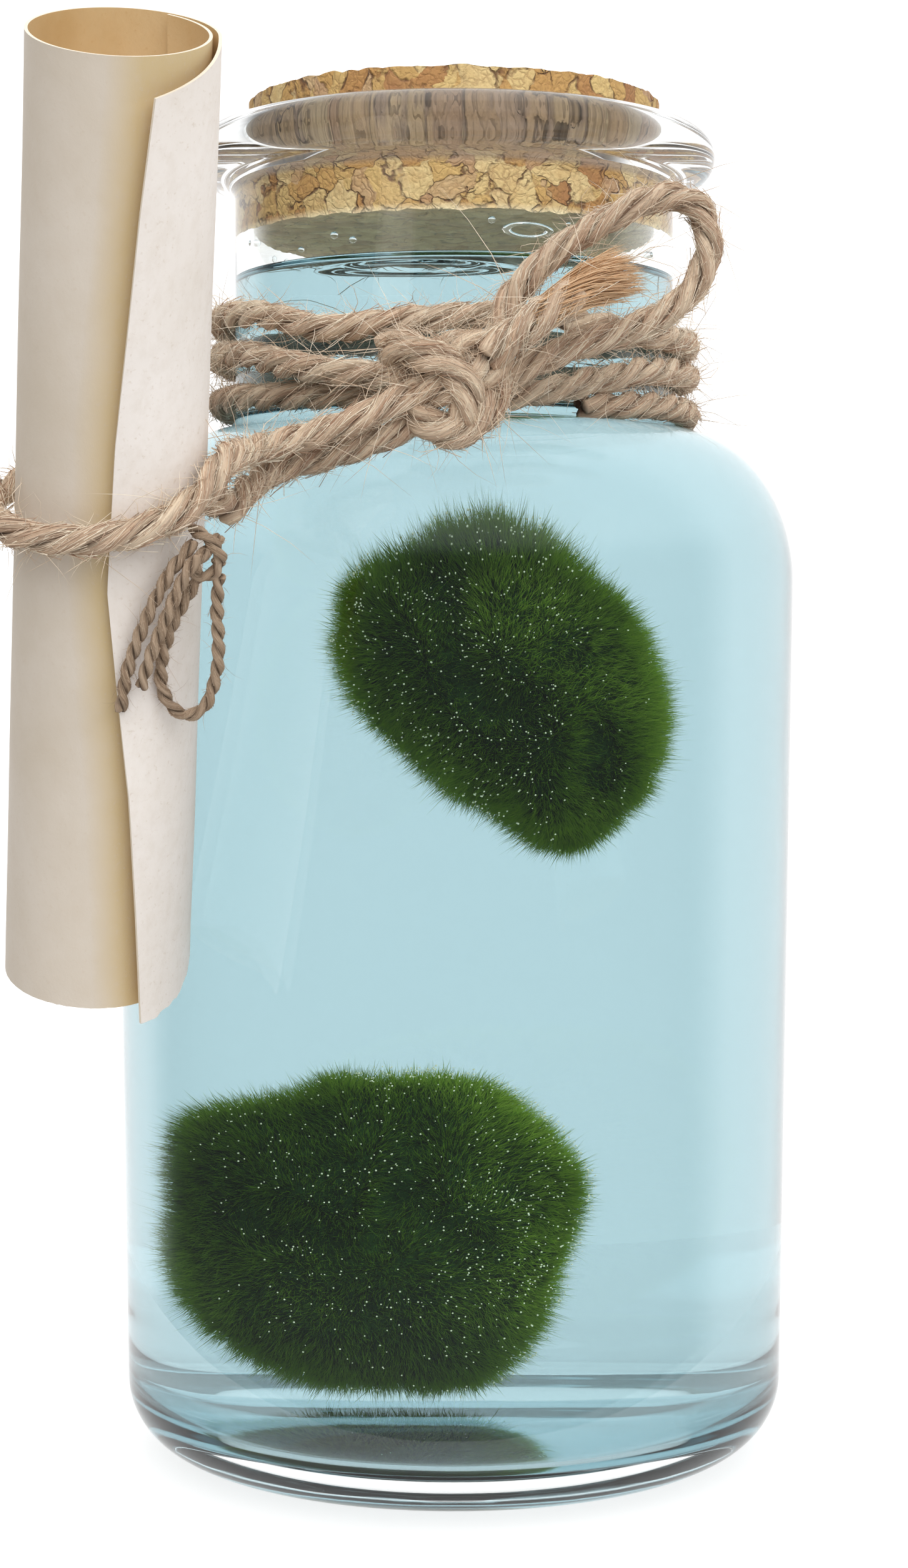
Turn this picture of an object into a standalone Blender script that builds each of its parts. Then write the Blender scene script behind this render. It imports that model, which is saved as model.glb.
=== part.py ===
"""Two marimo moss balls in a corked glass jar of water, with a paper scroll tied to its neck with jute twine.

Metres, +Z up. The jar's axis is Z and its flat base is z = 0. -Y is the front, and the scroll hangs at -X.
"""
import math

import bmesh
import bpy
from mathutils import Euler, Vector, noise

GAP = 0.0003                  # air left between pieces that touch in the real thing
WELD = 0.00001
TURN_STEPS = 40               # sides of every turned piece

# Glass jar: the outside from the base up, then the hollow.
BASE_RADIUS = 0.0264
HEEL_RADIUS = 0.0073
BODY_RADIUS_LOW = BASE_RADIUS + HEEL_RADIUS
BODY_RADIUS_HIGH = 0.0347
SHOULDER_START = 0.0885
SHOULDER_HEIGHT = 0.0155
NECK_RADIUS = 0.0224
NECK_FILLET = 0.0016
LIP_RADIUS = 0.0266
LIP_TOP = 0.1344
LIP_MIDDLE = 0.1315           # height of the lip's widest ring
LIP_CROWN_RADIUS = 0.0234
BODY_WALL = 0.0024
NECK_WALL = 0.0019
FLOOR_THICKNESS = 0.0046
INNER_HEEL = 0.0050
INNER_SHOULDER_HEIGHT = 0.0134
INNER_CORNER = 0.0020
MOUTH_RADIUS = 0.0213

WATER_LEVEL = 0.1191

CORK_BOTTOM = 0.1231
CORK_TOP = 0.1375
CORK_RADIUS_BOTTOM = 0.0197
CORK_RADIUS_TOP = 0.0209
CORK_EDGE = 0.0005

# Moss balls: the outline seen from the front has one radius every 30 degrees, from +X towards +Z.
MOSS_COLUMNS = 30
MOSS_ROWS = 14
MOSS_LUMP = 0.045
MOSS_LUMP_SCALE = 2.4
MOSS = {
    "marimo_upper": {
        "centre": (0.0036, 0.0, 0.0771),
        "outline": (0.0134, 0.0135, 0.0146, 0.0167, 0.0168, 0.0156, 0.0124, 0.0105, 0.0109, 0.0135, 0.0175, 0.0152),
        "depth": 0.0130,
        "lump_place": (1.7, 4.2, 0.6),
        "colour": (0.045, 0.105, 0.020, 1.0),
    },
    "marimo_lower": {
        "centre": (-0.0066, 0.0050, 0.0225),
        "outline": (0.0170, 0.0182, 0.0187, 0.0168, 0.0167, 0.0175, 0.0165, 0.0163, 0.0170, 0.0168, 0.0187, 0.0168),
        "depth": 0.0150,
        "lump_place": (6.3, 0.9, 2.8),
        "colour": (0.040, 0.095, 0.018, 1.0),
    },
}

# Jute twine, as routes through points chosen by hand.
TWINE = 0.0027                # diameter
TAIL = 0.0034                 # diameter of the twine's loosened end
TIE = 0.0012                  # diameter of the thin twine on the scroll
TWINE_SPACING = 2.6           # points of a tube lie this many diameters apart
WRAP_POINTS_PER_TURN = 24
WRAP_CLEARANCE = 0.00015      # a tube's straight runs cut inside its circle
# The turns round the neck, whose ends lie behind the knot and the bow: degrees from +X (-90 is the front), height,
# and how far off the neck they lie.
WINDINGS = {
    "neck_twine_upper": (
        (-84, 0.1131, 0.0), (-97, 0.1128, 0.0002), (-107, 0.1124, 0.0004), (-117, 0.1121, 0.0004),
        (-125, 0.1124, 0.0003), (-134, 0.1136, 0.0), (-145, 0.1145, 0.0), (-160, 0.1149, 0.0), (-180, 0.1150, 0.0),
        (-270, 0.1144, 0.0), (-360, 0.1126, 0.0), (-392, 0.1123, 0.0), (-425, 0.1128, 0.0),
    ),
    "neck_twine_middle": (
        (-104.5, 0.1073, 0.0028), (-112, 0.1076, 0.0027), (-120, 0.1081, 0.0024), (-128, 0.1088, 0.0017),
        (-137, 0.1097, 0.0006), (-150, 0.1107, 0.0), (-165, 0.1112, 0.0), (-180, 0.1113, 0.0), (-270, 0.1108, 0.0),
        (-360, 0.1094, 0.0), (-385, 0.1092, 0.0), (-400, 0.1087, 0.0003), (-415, 0.1075, 0.0006),
        (-425, 0.1065, 0.0012), (-430, 0.1060, 0.0018),
    ),
    "neck_twine_lower": (
        (-40, 0.1056, 0.0), (-25, 0.1056, 0.0), (90, 0.1057, 0.0), (180, 0.1067, 0.0), (205, 0.1066, 0.0),
        (222, 0.1062, 0.0), (240, 0.1059, 0.0), (256, 0.1057, 0.0),
    ),
}

KNOT_CENTRE = (-0.0012, -0.0306, 0.1066)
KNOT_HALF = (0.0045, 0.0032, 0.0046)
KNOT_TILT = math.radians(-24)

BOW_ROUTE = (
    (0.0038, -0.0306, 0.1097), (0.0054, -0.0303, 0.1140), (0.0076, -0.0302, 0.1166), (0.0101, -0.0299, 0.1187),
    (0.0150, -0.0291, 0.1218), (0.0181, -0.0283, 0.1232), (0.0206, -0.0275, 0.1237), (0.0226, -0.0268, 0.1229),
    (0.0236, -0.0264, 0.1211), (0.0238, -0.0262, 0.1189), (0.0228, -0.0262, 0.1160), (0.0202, -0.0266, 0.1133),
    (0.0152, -0.0276, 0.1109), (0.0108, -0.0288, 0.1095), (0.0070, -0.0302, 0.1078), (0.0047, -0.0310, 0.1062),
)
TAIL_ROUTE = (
    (0.0030, -0.0345, 0.1082), (0.0060, -0.0344, 0.1104), (0.0097, -0.0340, 0.1130), (0.0129, -0.0336, 0.1149),
    (0.0158, -0.0330, 0.1159), (0.0174, -0.0326, 0.1162),
)
TAIL_END_SCALE = 1.42         # the brushed end against the twine's own thickness
# From the knot to the front of the scroll, and, once round it, back under itself to the knot.
LEAD_ROUTE = (
    (-0.0062, -0.0340, 0.1038), (-0.0084, -0.0344, 0.1026), (-0.0114, -0.0342, 0.1015), (-0.0146, -0.0346, 0.1006),
    (-0.0170, -0.0366, 0.0999), (-0.0183, -0.0402, 0.0990), (-0.0189, -0.0446, 0.0986),
)
RETURN_ROUTE = (
    (-0.0192, -0.0400, 0.0950), (-0.0183, -0.0368, 0.0963), (-0.0170, -0.0340, 0.0975), (-0.0148, -0.0323, 0.0985),
    (-0.0115, -0.0318, 0.0994), (-0.0085, -0.0320, 0.1003), (-0.0066, -0.0320, 0.1010),
)

# Rolled paper, in its own frame: its axis is Z from its lower end, and its front is -Y.
SCROLL_FOOT = (-0.0333, -0.0293, 0.0520)
SCROLL_TILT = math.radians(21)   # the top leans to the front
SCROLL_LEAN = math.radians(4.6)  # and a little to the right
SCROLL_LENGTH = 0.0857
SCROLL_RADIUS_LOW = 0.0087
SCROLL_RADIUS_HIGH = 0.0083
PAPER = 0.00035
ROLL_STEP = 0.00085           # how far one turn lies inside the last
ROLL_TURN = math.radians(490)
ROLL_COLUMNS = 46
ROLL_ROWS = 9
FLAP_EDGE = ((0.0, 27), (0.16, 19), (0.33, 8), (0.47, -4), (0.70, 6), (1.0, 15))  # height, degrees from the front
FLAP_LIFT = 0.0007
FLAP_SPAN = math.radians(75)
FLAP_TOP_DROP = 0.0030
FLAP_FOOT_DROP = 0.0026
END_SLANT = 0.0007            # the top end faces a little forwards
# The twine's ring round the scroll: degrees from the front, positive to the right. It comes down to the left.
RING_START = 78
RING_END = -255
RING_LOWEST_AT = -84
RING_LOWEST = 0.0447
RING_RISE = 0.0061            # how much higher the ring starts
RING_POINTS = 16

TIE_KNOT_CENTRE = (-0.0209, -0.0517, 0.0900)
TIE_KNOT_HALF = (0.0015, 0.0013, 0.0021)
TIE_LOOP_ROUTE = (
    (-0.0217, -0.0514, 0.0878), (-0.0224, -0.0511, 0.0866), (-0.0235, -0.0505, 0.0848), (-0.0244, -0.0497, 0.0830),
    (-0.0251, -0.0487, 0.0808), (-0.0253, -0.0477, 0.0787), (-0.0248, -0.0469, 0.0770), (-0.0238, -0.0464, 0.0760),
    (-0.0227, -0.0462, 0.0759), (-0.0216, -0.0463, 0.0767), (-0.0209, -0.0469, 0.0783), (-0.0204, -0.0477, 0.0804),
    (-0.0203, -0.0486, 0.0826), (-0.0203, -0.0494, 0.0845), (-0.0202, -0.0502, 0.0863), (-0.0200, -0.0509, 0.0878),
)
TIE_TAIL_LEFT_ROUTE = (
    (-0.0227, -0.0529, 0.0897), (-0.0240, -0.0528, 0.0880), (-0.0256, -0.0521, 0.0852), (-0.0270, -0.0511, 0.0822),
    (-0.0281, -0.0499, 0.0792), (-0.0287, -0.0487, 0.0763),
)
TIE_TAIL_RIGHT_ROUTE = (
    (-0.0225, -0.0532, 0.0881), (-0.0235, -0.0527, 0.0862), (-0.0248, -0.0518, 0.0834), (-0.0260, -0.0508, 0.0807),
    (-0.0268, -0.0498, 0.0783),
)


def clear_scene():
    for old in list(bpy.data.objects):
        bpy.data.objects.remove(old, do_unlink=True)


def collection(name):
    group = bpy.data.collections.new(name)
    bpy.context.scene.collection.children.link(group)
    return group


def material(name, colour, roughness, transmission=0.0, ior=1.45):
    made = bpy.data.materials.new(name)
    made.use_nodes = True
    shader = made.node_tree.nodes["Principled BSDF"]
    shader.inputs["Base Color"].default_value = colour
    shader.inputs["Roughness"].default_value = roughness
    shader.inputs["Metallic"].default_value = 0.0
    shader.inputs["Transmission Weight"].default_value = transmission
    shader.inputs["IOR"].default_value = ior
    made.diffuse_color = colour
    return made


def place(group, name, data, finish=None):
    made = bpy.data.objects.new(name, data)
    group.objects.link(made)
    if finish is not None:
        data.materials.append(finish)
    return made


def arc(centre, radius_across, radius_up, start, end, count):
    """(r, z) points along an ellipse's arc, with its angles in degrees."""
    points = []
    for step in range(count):
        angle = math.radians(start + (end - start) * step / (count - 1))
        points.append((centre[0] + radius_across * math.cos(angle), centre[1] + radius_up * math.sin(angle)))
    return points


def ellipse_height(radius_across, radius_up, across):
    return radius_up * math.sqrt(1 - (across / radius_across) ** 2)


# Turned pieces

def turned(group, name, profile, finish):
    """A piece turned about Z from (r, z) points that run down its outer side."""
    mesh = bpy.data.meshes.new(name)
    mesh.from_pydata([(r, 0, z) for r, z in profile], [(i, i + 1) for i in range(len(profile) - 1)], [])
    made = place(group, name, mesh, finish)
    screw = made.modifiers.new("Turn", "SCREW")
    screw.axis = "Z"
    screw.angle = math.tau
    screw.steps = TURN_STEPS
    screw.render_steps = TURN_STEPS
    screw.use_merge_vertices = True
    screw.merge_threshold = WELD
    screw.use_smooth_shade = True
    return made


def hollow_profile(inset):
    """The jar's hollow from the middle of its floor up to its neck, drawn in all round by inset."""
    floor = FLOOR_THICKNESS + inset
    low = BODY_RADIUS_LOW - BODY_WALL - inset
    high = BODY_RADIUS_HIGH - BODY_WALL - inset
    neck = NECK_RADIUS - NECK_WALL - inset
    heel = INNER_HEEL - inset
    across = high - neck
    rise = INNER_SHOULDER_HEIGHT - inset
    corner = INNER_CORNER + inset
    corner_angle = math.degrees(math.acos(corner / across))
    corner_foot = SHOULDER_START + ellipse_height(across, rise, corner)
    points = [(0, floor)]
    points += arc((low - heel, floor + heel), heel, heel, -90, 0, 5)
    points += arc((neck, SHOULDER_START), across, rise, 0, corner_angle - 6, 6)
    points += arc((neck + corner, corner_foot + corner), corner, corner, 270, 180, 4)
    return points


def jar_profile():
    inner_neck = NECK_RADIUS - NECK_WALL
    mouth_round = 0.0011
    lip_reach = LIP_RADIUS - LIP_CROWN_RADIUS
    under_lip = 0.0024
    neck_top = 0.1273
    shoulder_across = BODY_RADIUS_HIGH - NECK_RADIUS
    shoulder_angle = math.degrees(math.acos(NECK_FILLET / shoulder_across))
    fillet_foot = SHOULDER_START + ellipse_height(shoulder_across, SHOULDER_HEIGHT, NECK_FILLET)
    points = hollow_profile(0)
    points += [(inner_neck, neck_top + 0.0010)]
    points += arc((MOUTH_RADIUS + mouth_round, LIP_TOP - mouth_round), mouth_round, mouth_round, 180, 90, 3)
    points += arc((LIP_CROWN_RADIUS, LIP_MIDDLE), lip_reach, LIP_TOP - LIP_MIDDLE, 90, 0, 5)
    points += arc((LIP_RADIUS - under_lip, LIP_MIDDLE), under_lip, under_lip + 0.0001, -30, -80, 3)
    points += arc((NECK_RADIUS + NECK_FILLET, neck_top), NECK_FILLET, NECK_FILLET, 120, 180, 3)
    points += arc((NECK_RADIUS + NECK_FILLET, fillet_foot + NECK_FILLET), NECK_FILLET, NECK_FILLET, 180, 270, 4)
    points += arc((NECK_RADIUS, SHOULDER_START), shoulder_across, SHOULDER_HEIGHT, shoulder_angle - 8, 0, 7)
    points += arc((BASE_RADIUS, HEEL_RADIUS), HEEL_RADIUS, HEEL_RADIUS, 0, -90, 6)
    points += [(0, 0)]
    return points


def cork_profile():
    slope = (CORK_RADIUS_TOP - CORK_RADIUS_BOTTOM) / (CORK_TOP - CORK_BOTTOM)
    return [
        (0, CORK_TOP),
        (CORK_RADIUS_TOP - CORK_EDGE, CORK_TOP),
        (CORK_RADIUS_TOP, CORK_TOP - CORK_EDGE),
        (CORK_RADIUS_BOTTOM + slope * CORK_EDGE, CORK_BOTTOM + CORK_EDGE),
        (CORK_RADIUS_BOTTOM - CORK_EDGE, CORK_BOTTOM),
        (0, CORK_BOTTOM),
    ]


def water_profile():
    wall = hollow_profile(GAP)
    neck = wall[-1][0]
    return [(0, WATER_LEVEL), (neck, WATER_LEVEL)] + wall[::-1]


# Moss balls, and the water round them

def outline_radius(outline, angle):
    """The outline's radius at an angle, eased between its evenly spaced radii."""
    place_on = (angle / math.tau * len(outline)) % len(outline)
    first = int(place_on)
    part = place_on - first
    before, here, after, beyond = (outline[(first + k) % len(outline)] for k in (-1, 0, 1, 2))
    return 0.5 * (2 * here + (after - before) * part
                  + (2 * before - 5 * here + 4 * after - beyond) * part ** 2
                  + (3 * here - before - 3 * after + beyond) * part ** 3)


def moss_mesh(name, piece, swell=0.0):
    """A lumpy closed form. swell moves its whole surface out, for the pocket that it lies in."""
    bm = bmesh.new()
    bmesh.ops.create_uvsphere(bm, u_segments=MOSS_COLUMNS, v_segments=MOSS_ROWS, radius=1.0)
    lump_place = Vector(piece["lump_place"])
    for vert in bm.verts:
        across, depth, up = vert.co.x, -vert.co.z, vert.co.y   # the poles face front and back
        reach = outline_radius(piece["outline"], math.atan2(up, across))
        lump = 1 + MOSS_LUMP * noise.noise(Vector((across, depth, up)) * MOSS_LUMP_SCALE + lump_place)
        vert.co = Vector((across * reach, depth * piece["depth"], up * reach)) * lump
    bm.normal_update()
    moves = [(vert, vert.normal * swell) for vert in bm.verts]
    for vert, move in moves:
        vert.co += move + Vector(piece["centre"])
    mesh = bpy.data.meshes.new(name)
    bm.to_mesh(mesh)
    bm.free()
    mesh.shade_smooth()
    return mesh


def cutter(group, name, data):
    made = place(group, name, data)
    made.display_type = "WIRE"
    made.hide_render = True
    return made


def box_mesh(name, low, high):
    bm = bmesh.new()
    bmesh.ops.create_cube(bm, size=1.0)
    low, high = Vector(low), Vector(high)
    for vert in bm.verts:
        vert.co = Vector([l + (h - l) * (c + 0.5) for l, h, c in zip(low, high, vert.co)])
    mesh = bpy.data.meshes.new(name)
    bm.to_mesh(mesh)
    bm.free()
    return mesh


def cut(piece, tool):
    boolean = piece.modifiers.new(tool.name, "BOOLEAN")
    boolean.operation = "DIFFERENCE"
    boolean.solver = "EXACT"
    boolean.object = tool


def water_halves(group, cutters, finish):
    """The water, parted at y = 0 so that each half holds half of both pockets."""
    reach = 0.05
    pockets = [cutter(cutters, "pocket_" + name, moss_mesh("pocket_" + name, piece, GAP * 1.3))
               for name, piece in MOSS.items()]
    for name, low_y, high_y in (("water_front", -GAP / 2, reach), ("water_back", -reach, GAP / 2)):
        half = turned(group, name, water_profile(), finish)
        other_side = box_mesh(name + "_other_side", (-reach, low_y, -0.01), (reach, high_y, CORK_TOP))
        cut(half, cutter(cutters, name + "_other_side", other_side))
        for pocket in pockets:
            cut(half, pocket)


# Twine

def along_table(table, at):
    for (a, va), (b, vb) in zip(table, table[1:]):
        if at <= b:
            part = (at - a) / (b - a)
            return va + (vb - va) * part * part * (3 - 2 * part)
    return table[-1][1]


def smooth_route(points, spacing):
    """Points a near-even spacing apart on a smooth curve through the route's own points."""
    route = [Vector(p) for p in points]
    padded = [route[0] * 2 - route[1]] + route + [route[-1] * 2 - route[-2]]
    fine = []
    for before, here, after, beyond in zip(padded, padded[1:], padded[2:], padded[3:]):
        for step in range(12):
            t = step / 12
            fine.append(0.5 * (2 * here + (after - before) * t + (2 * before - 5 * here + 4 * after - beyond) * t * t
                               + (3 * here - before - 3 * after + beyond) * t ** 3))
    fine.append(route[-1])
    lengths = [0.0]
    for one, two in zip(fine, fine[1:]):
        lengths.append(lengths[-1] + (two - one).length)
    count = max(4, round(lengths[-1] / spacing) + 1)
    made = []
    index = 0
    for k in range(count):
        target = lengths[-1] * k / (count - 1)
        while index < len(fine) - 2 and lengths[index + 1] < target:
            index += 1
        part = (target - lengths[index]) / max(lengths[index + 1] - lengths[index], 1e-12)
        made.append(fine[index].lerp(fine[index + 1], part))
    return made


def tube(group, name, points, diameter, finish, end_scale=1.0):
    """A round cord along points. end_scale widens it towards its end."""
    curve = bpy.data.curves.new(name, "CURVE")
    curve.dimensions = "3D"
    curve.bevel_depth = diameter / 2
    curve.bevel_resolution = 2
    curve.use_fill_caps = True
    spline = curve.splines.new("POLY")
    spline.points.add(len(points) - 1)
    for k, point in enumerate(points):
        spline.points[k].co = (*point, 1.0)
        spline.points[k].radius = 1 + (end_scale - 1) * (k / (len(points) - 1)) ** 1.5
    return place(group, name, curve, finish)


def winding_points(route):
    """Points of a winding, read off its (degrees, height, lift) stations."""
    first, last = route[0][0], route[-1][0]
    sign = 1 if last > first else -1
    count = round(abs(last - first) / 360 * WRAP_POINTS_PER_TURN) + 1
    heights = [(sign * (degrees - first), height) for degrees, height, lift in route]
    lifts = [(sign * (degrees - first), lift) for degrees, height, lift in route]
    points = []
    for step in range(count):
        turned_by = abs(last - first) * step / (count - 1)
        angle = math.radians(first + sign * turned_by)
        radius = NECK_RADIUS + GAP + WRAP_CLEARANCE + TWINE / 2 + along_table(lifts, turned_by)
        points.append(Vector((radius * math.cos(angle), radius * math.sin(angle), along_table(heights, turned_by))))
    return points


def lump(group, name, centre, half, tilt, finish, columns=14, rows=9):
    """The closed form of a small knot."""
    bm = bmesh.new()
    bmesh.ops.create_uvsphere(bm, u_segments=columns, v_segments=rows, radius=1.0)
    for vert in bm.verts:
        vert.co = Vector([c * h for c, h in zip(vert.co, half)]) * (1 + 0.06 * noise.noise(vert.co * 2.1))
    mesh = bpy.data.meshes.new(name)
    bm.to_mesh(mesh)
    bm.free()
    mesh.shade_smooth()
    made = place(group, name, mesh, finish)
    made.location = centre
    made.rotation_euler = (tilt, 0, 0)
    return made


# Rolled paper

def scroll_turn():
    return Euler((SCROLL_TILT, SCROLL_LEAN, 0)).to_matrix()


def scroll_radius(height):
    return SCROLL_RADIUS_LOW + (SCROLL_RADIUS_HIGH - SCROLL_RADIUS_LOW) * height


def roll_point(turned_by, height):
    """A point of the sheet: turned_by is the angle in from its free edge, height runs from 0 to 1."""
    angle = math.radians(along_table(FLAP_EDGE, height)) + turned_by
    near_edge = max(0.0, 1 - turned_by / FLAP_SPAN)
    from_tie = min(1.0, abs(height - 0.47) / 0.25)
    radius = scroll_radius(height) - ROLL_STEP * min(turned_by / math.tau, 1.15)
    radius += FLAP_LIFT * near_edge ** 2 * from_tie
    up = height * SCROLL_LENGTH
    up -= FLAP_TOP_DROP * near_edge * max(0.0, height - 0.85) / 0.15
    up -= FLAP_FOOT_DROP * near_edge * max(0.0, 0.1 - height) / 0.1
    up -= END_SLANT * math.cos(angle) * max(0.0, height - 0.85) / 0.15
    return radius * math.sin(angle), -radius * math.cos(angle), up


def paper_scroll(group, finish):
    bm = bmesh.new()
    rows = []
    for row in range(ROLL_ROWS):
        height = row / (ROLL_ROWS - 1)
        rows.append([bm.verts.new(roll_point(ROLL_TURN * column / (ROLL_COLUMNS - 1), height))
                     for column in range(ROLL_COLUMNS)])
    for low, high in zip(rows, rows[1:]):
        for column in range(ROLL_COLUMNS - 1):
            bm.faces.new((low[column], low[column + 1], high[column + 1], high[column]))
    mesh = bpy.data.meshes.new("paper_scroll")
    bm.to_mesh(mesh)
    bm.free()
    mesh.shade_smooth()
    made = place(group, "paper_scroll", mesh, finish)
    made.location = SCROLL_FOOT
    made.rotation_euler = (SCROLL_TILT, SCROLL_LEAN, 0)
    thickness = made.modifiers.new("Paper", "SOLIDIFY")
    thickness.thickness = PAPER
    thickness.offset = -1.0
    return made


def ring_points():
    """The twine round the scroll: in at the right of its front, round the left, and behind it to its right side."""
    points = []
    for step in range(RING_POINTS):
        degrees = RING_START + (RING_END - RING_START) * step / (RING_POINTS - 1)
        above = max(0, degrees - RING_LOWEST_AT) / (RING_START - RING_LOWEST_AT)
        up = RING_LOWEST + RING_RISE * above ** 3
        radius = scroll_radius(up / SCROLL_LENGTH) + GAP * 1.5 + TWINE / 2
        angle = math.radians(degrees)
        local = Vector((radius * math.sin(angle), -radius * math.cos(angle), up))
        points.append(scroll_turn() @ local + Vector(SCROLL_FOOT))
    return points


def main():
    clear_scene()
    parts = collection("marimo_jar")
    cutters = collection("cutters")
    glass = material("clear_glass", (0.93, 0.97, 0.97, 1.0), 0.02, 1.0, 1.5)
    water = material("water", (0.80, 0.93, 0.96, 1.0), 0.0, 1.0, 1.333)
    cork = material("pressed_cork", (0.55, 0.35, 0.16, 1.0), 0.85)
    jute = material("jute", (0.52, 0.36, 0.22, 1.0), 0.9)
    thin_jute = material("thin_jute", (0.42, 0.29, 0.18, 1.0), 0.9)
    paper = material("parchment", (0.76, 0.68, 0.58, 1.0), 0.8)

    turned(parts, "glass_jar", jar_profile(), glass)
    turned(parts, "cork_stopper", cork_profile(), cork)
    water_halves(parts, cutters, water)
    for name, piece in MOSS.items():
        place(parts, name, moss_mesh(name, piece), material(name, piece["colour"], 0.95))

    for name, route in WINDINGS.items():
        tube(parts, name, winding_points(route), TWINE, jute)
    lump(parts, "twine_knot", KNOT_CENTRE, KNOT_HALF, KNOT_TILT, jute)
    tube(parts, "bow_loop", smooth_route(BOW_ROUTE, TWINE * 1.2), TWINE, jute)
    tube(parts, "frayed_tail", smooth_route(TAIL_ROUTE, TAIL), TAIL, jute, TAIL_END_SCALE)
    lead = smooth_route(list(LEAD_ROUTE) + ring_points() + list(RETURN_ROUTE), TWINE * 1.5)
    tube(parts, "scroll_lead", lead, TWINE, jute)

    paper_scroll(parts, paper)
    lump(parts, "tie_knot", TIE_KNOT_CENTRE, TIE_KNOT_HALF, 0, thin_jute, 10, 7)
    tube(parts, "tie_loop", smooth_route(TIE_LOOP_ROUTE, TIE * TWINE_SPACING), TIE, thin_jute)
    tube(parts, "tie_tail_left", smooth_route(TIE_TAIL_LEFT_ROUTE, TIE * TWINE_SPACING), TIE * 0.9, thin_jute)
    tube(parts, "tie_tail_right", smooth_route(TIE_TAIL_RIGHT_ROUTE, TIE * TWINE_SPACING), TIE * 0.9, thin_jute)


main()
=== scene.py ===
import math

import bpy
import numpy as np
from mathutils import Euler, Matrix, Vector, noise


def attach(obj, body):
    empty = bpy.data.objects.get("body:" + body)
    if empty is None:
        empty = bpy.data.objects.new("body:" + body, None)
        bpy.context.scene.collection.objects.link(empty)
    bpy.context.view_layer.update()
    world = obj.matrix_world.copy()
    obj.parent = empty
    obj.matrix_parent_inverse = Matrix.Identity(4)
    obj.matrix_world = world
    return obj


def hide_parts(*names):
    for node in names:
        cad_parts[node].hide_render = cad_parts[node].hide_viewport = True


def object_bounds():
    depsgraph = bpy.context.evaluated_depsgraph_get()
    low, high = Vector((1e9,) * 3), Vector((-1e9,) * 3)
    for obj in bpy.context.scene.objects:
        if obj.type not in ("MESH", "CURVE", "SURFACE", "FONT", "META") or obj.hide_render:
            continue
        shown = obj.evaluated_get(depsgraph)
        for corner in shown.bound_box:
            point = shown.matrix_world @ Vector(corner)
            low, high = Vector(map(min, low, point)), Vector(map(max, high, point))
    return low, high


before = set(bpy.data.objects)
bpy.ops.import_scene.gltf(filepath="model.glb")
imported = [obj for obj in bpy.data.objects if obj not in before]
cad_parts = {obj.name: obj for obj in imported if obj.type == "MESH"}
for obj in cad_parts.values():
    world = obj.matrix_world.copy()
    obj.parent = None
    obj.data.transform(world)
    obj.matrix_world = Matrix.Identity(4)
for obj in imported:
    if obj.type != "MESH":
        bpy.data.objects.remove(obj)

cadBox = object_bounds()
# Without a seed, the noise that swirls the filaments would start from the clock and change from run to run.
noise.seed_set(7)
print("frame loaded")

# ---- small tools for picking and shaping


def deselectAll():
    for thing in list(bpy.context.selected_objects):
        thing.select_set(False)


def pick(piece):
    deselectAll()
    bpy.context.view_layer.objects.active = piece
    piece.select_set(True)


def startEdit(piece):
    pick(piece)
    bpy.ops.object.mode_set(mode="EDIT")
    bpy.ops.mesh.select_all(action="SELECT")


def endEdit():
    bpy.ops.object.mode_set(mode="OBJECT")


def newPrimitive(name, add, **settings):
    deselectAll()
    add(**settings)
    piece = bpy.context.active_object
    piece.name = name
    piece.data.name = name
    return piece


def applyPlace(piece):
    pick(piece)
    bpy.ops.object.transform_apply(location=True, rotation=True, scale=True)


def useModifier(piece, kind, **settings):
    pick(piece)
    modifier = piece.modifiers.new(kind.title(), kind)
    for key, value in settings.items():
        setattr(modifier, key, value)
    bpy.ops.object.modifier_apply(modifier=modifier.name)


def settle(piece, finishes, slot, *nodes):
    # Gives a piece its finishes, lets it ride on the jar, and hides the plain solids that it stands for.
    piece.data.materials.clear()
    for finish in finishes:
        piece.data.materials.append(finish)
    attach(piece, "root")
    if nodes:
        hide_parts(*nodes)
    return piece


def meshOf(name, points, faces, uv=None, tint=None):
    # A mesh from an array of points and a list of faces. uv has one pair for each corner, tint one colour
    # for each point.
    mesh = bpy.data.meshes.new(name)
    mesh.from_pydata(points.tolist(), [], faces)
    if uv is not None:
        mesh.uv_layers.new(name="along").data.foreach_set("uv", uv.astype(np.float32).ravel())
    if tint is not None:
        layer = mesh.color_attributes.new("tint", "FLOAT_COLOR", "POINT")
        layer.data.foreach_set("color", tint.astype(np.float32).ravel())
    mesh.update()
    piece = bpy.data.objects.new(name, mesh)
    bpy.context.scene.collection.objects.link(piece)
    mesh.shade_smooth()
    return piece


def arcPoints(centre, across, up, start, end, count):
    angles = np.radians(np.linspace(start, end, count))
    return [(centre[0] + across * math.cos(a), centre[1] + up * math.sin(a)) for a in angles]


def eased(table, at):
    # A value read off (place, value) pairs, with a soft step between them.
    for (placeA, valueA), (placeB, valueB) in zip(table, table[1:]):
        if at <= placeB:
            part = (at - placeA) / (placeB - placeA)
            return valueA + (valueB - valueA) * part * part * (3 - 2 * part)
    return table[-1][1]


def curveThrough(before, here, after, beyond, t):
    # A smooth curve from here to after, for t from 0 to 1.
    return 0.5 * (2 * here + (after - before) * t + (2 * before - 5 * here + 4 * after - beyond) * t ** 2
                  + (3 * here - before - 3 * after + beyond) * t ** 3)


def bell(gap, width):
    return np.exp(-(gap / width) ** 2)


# ---- materials


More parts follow.
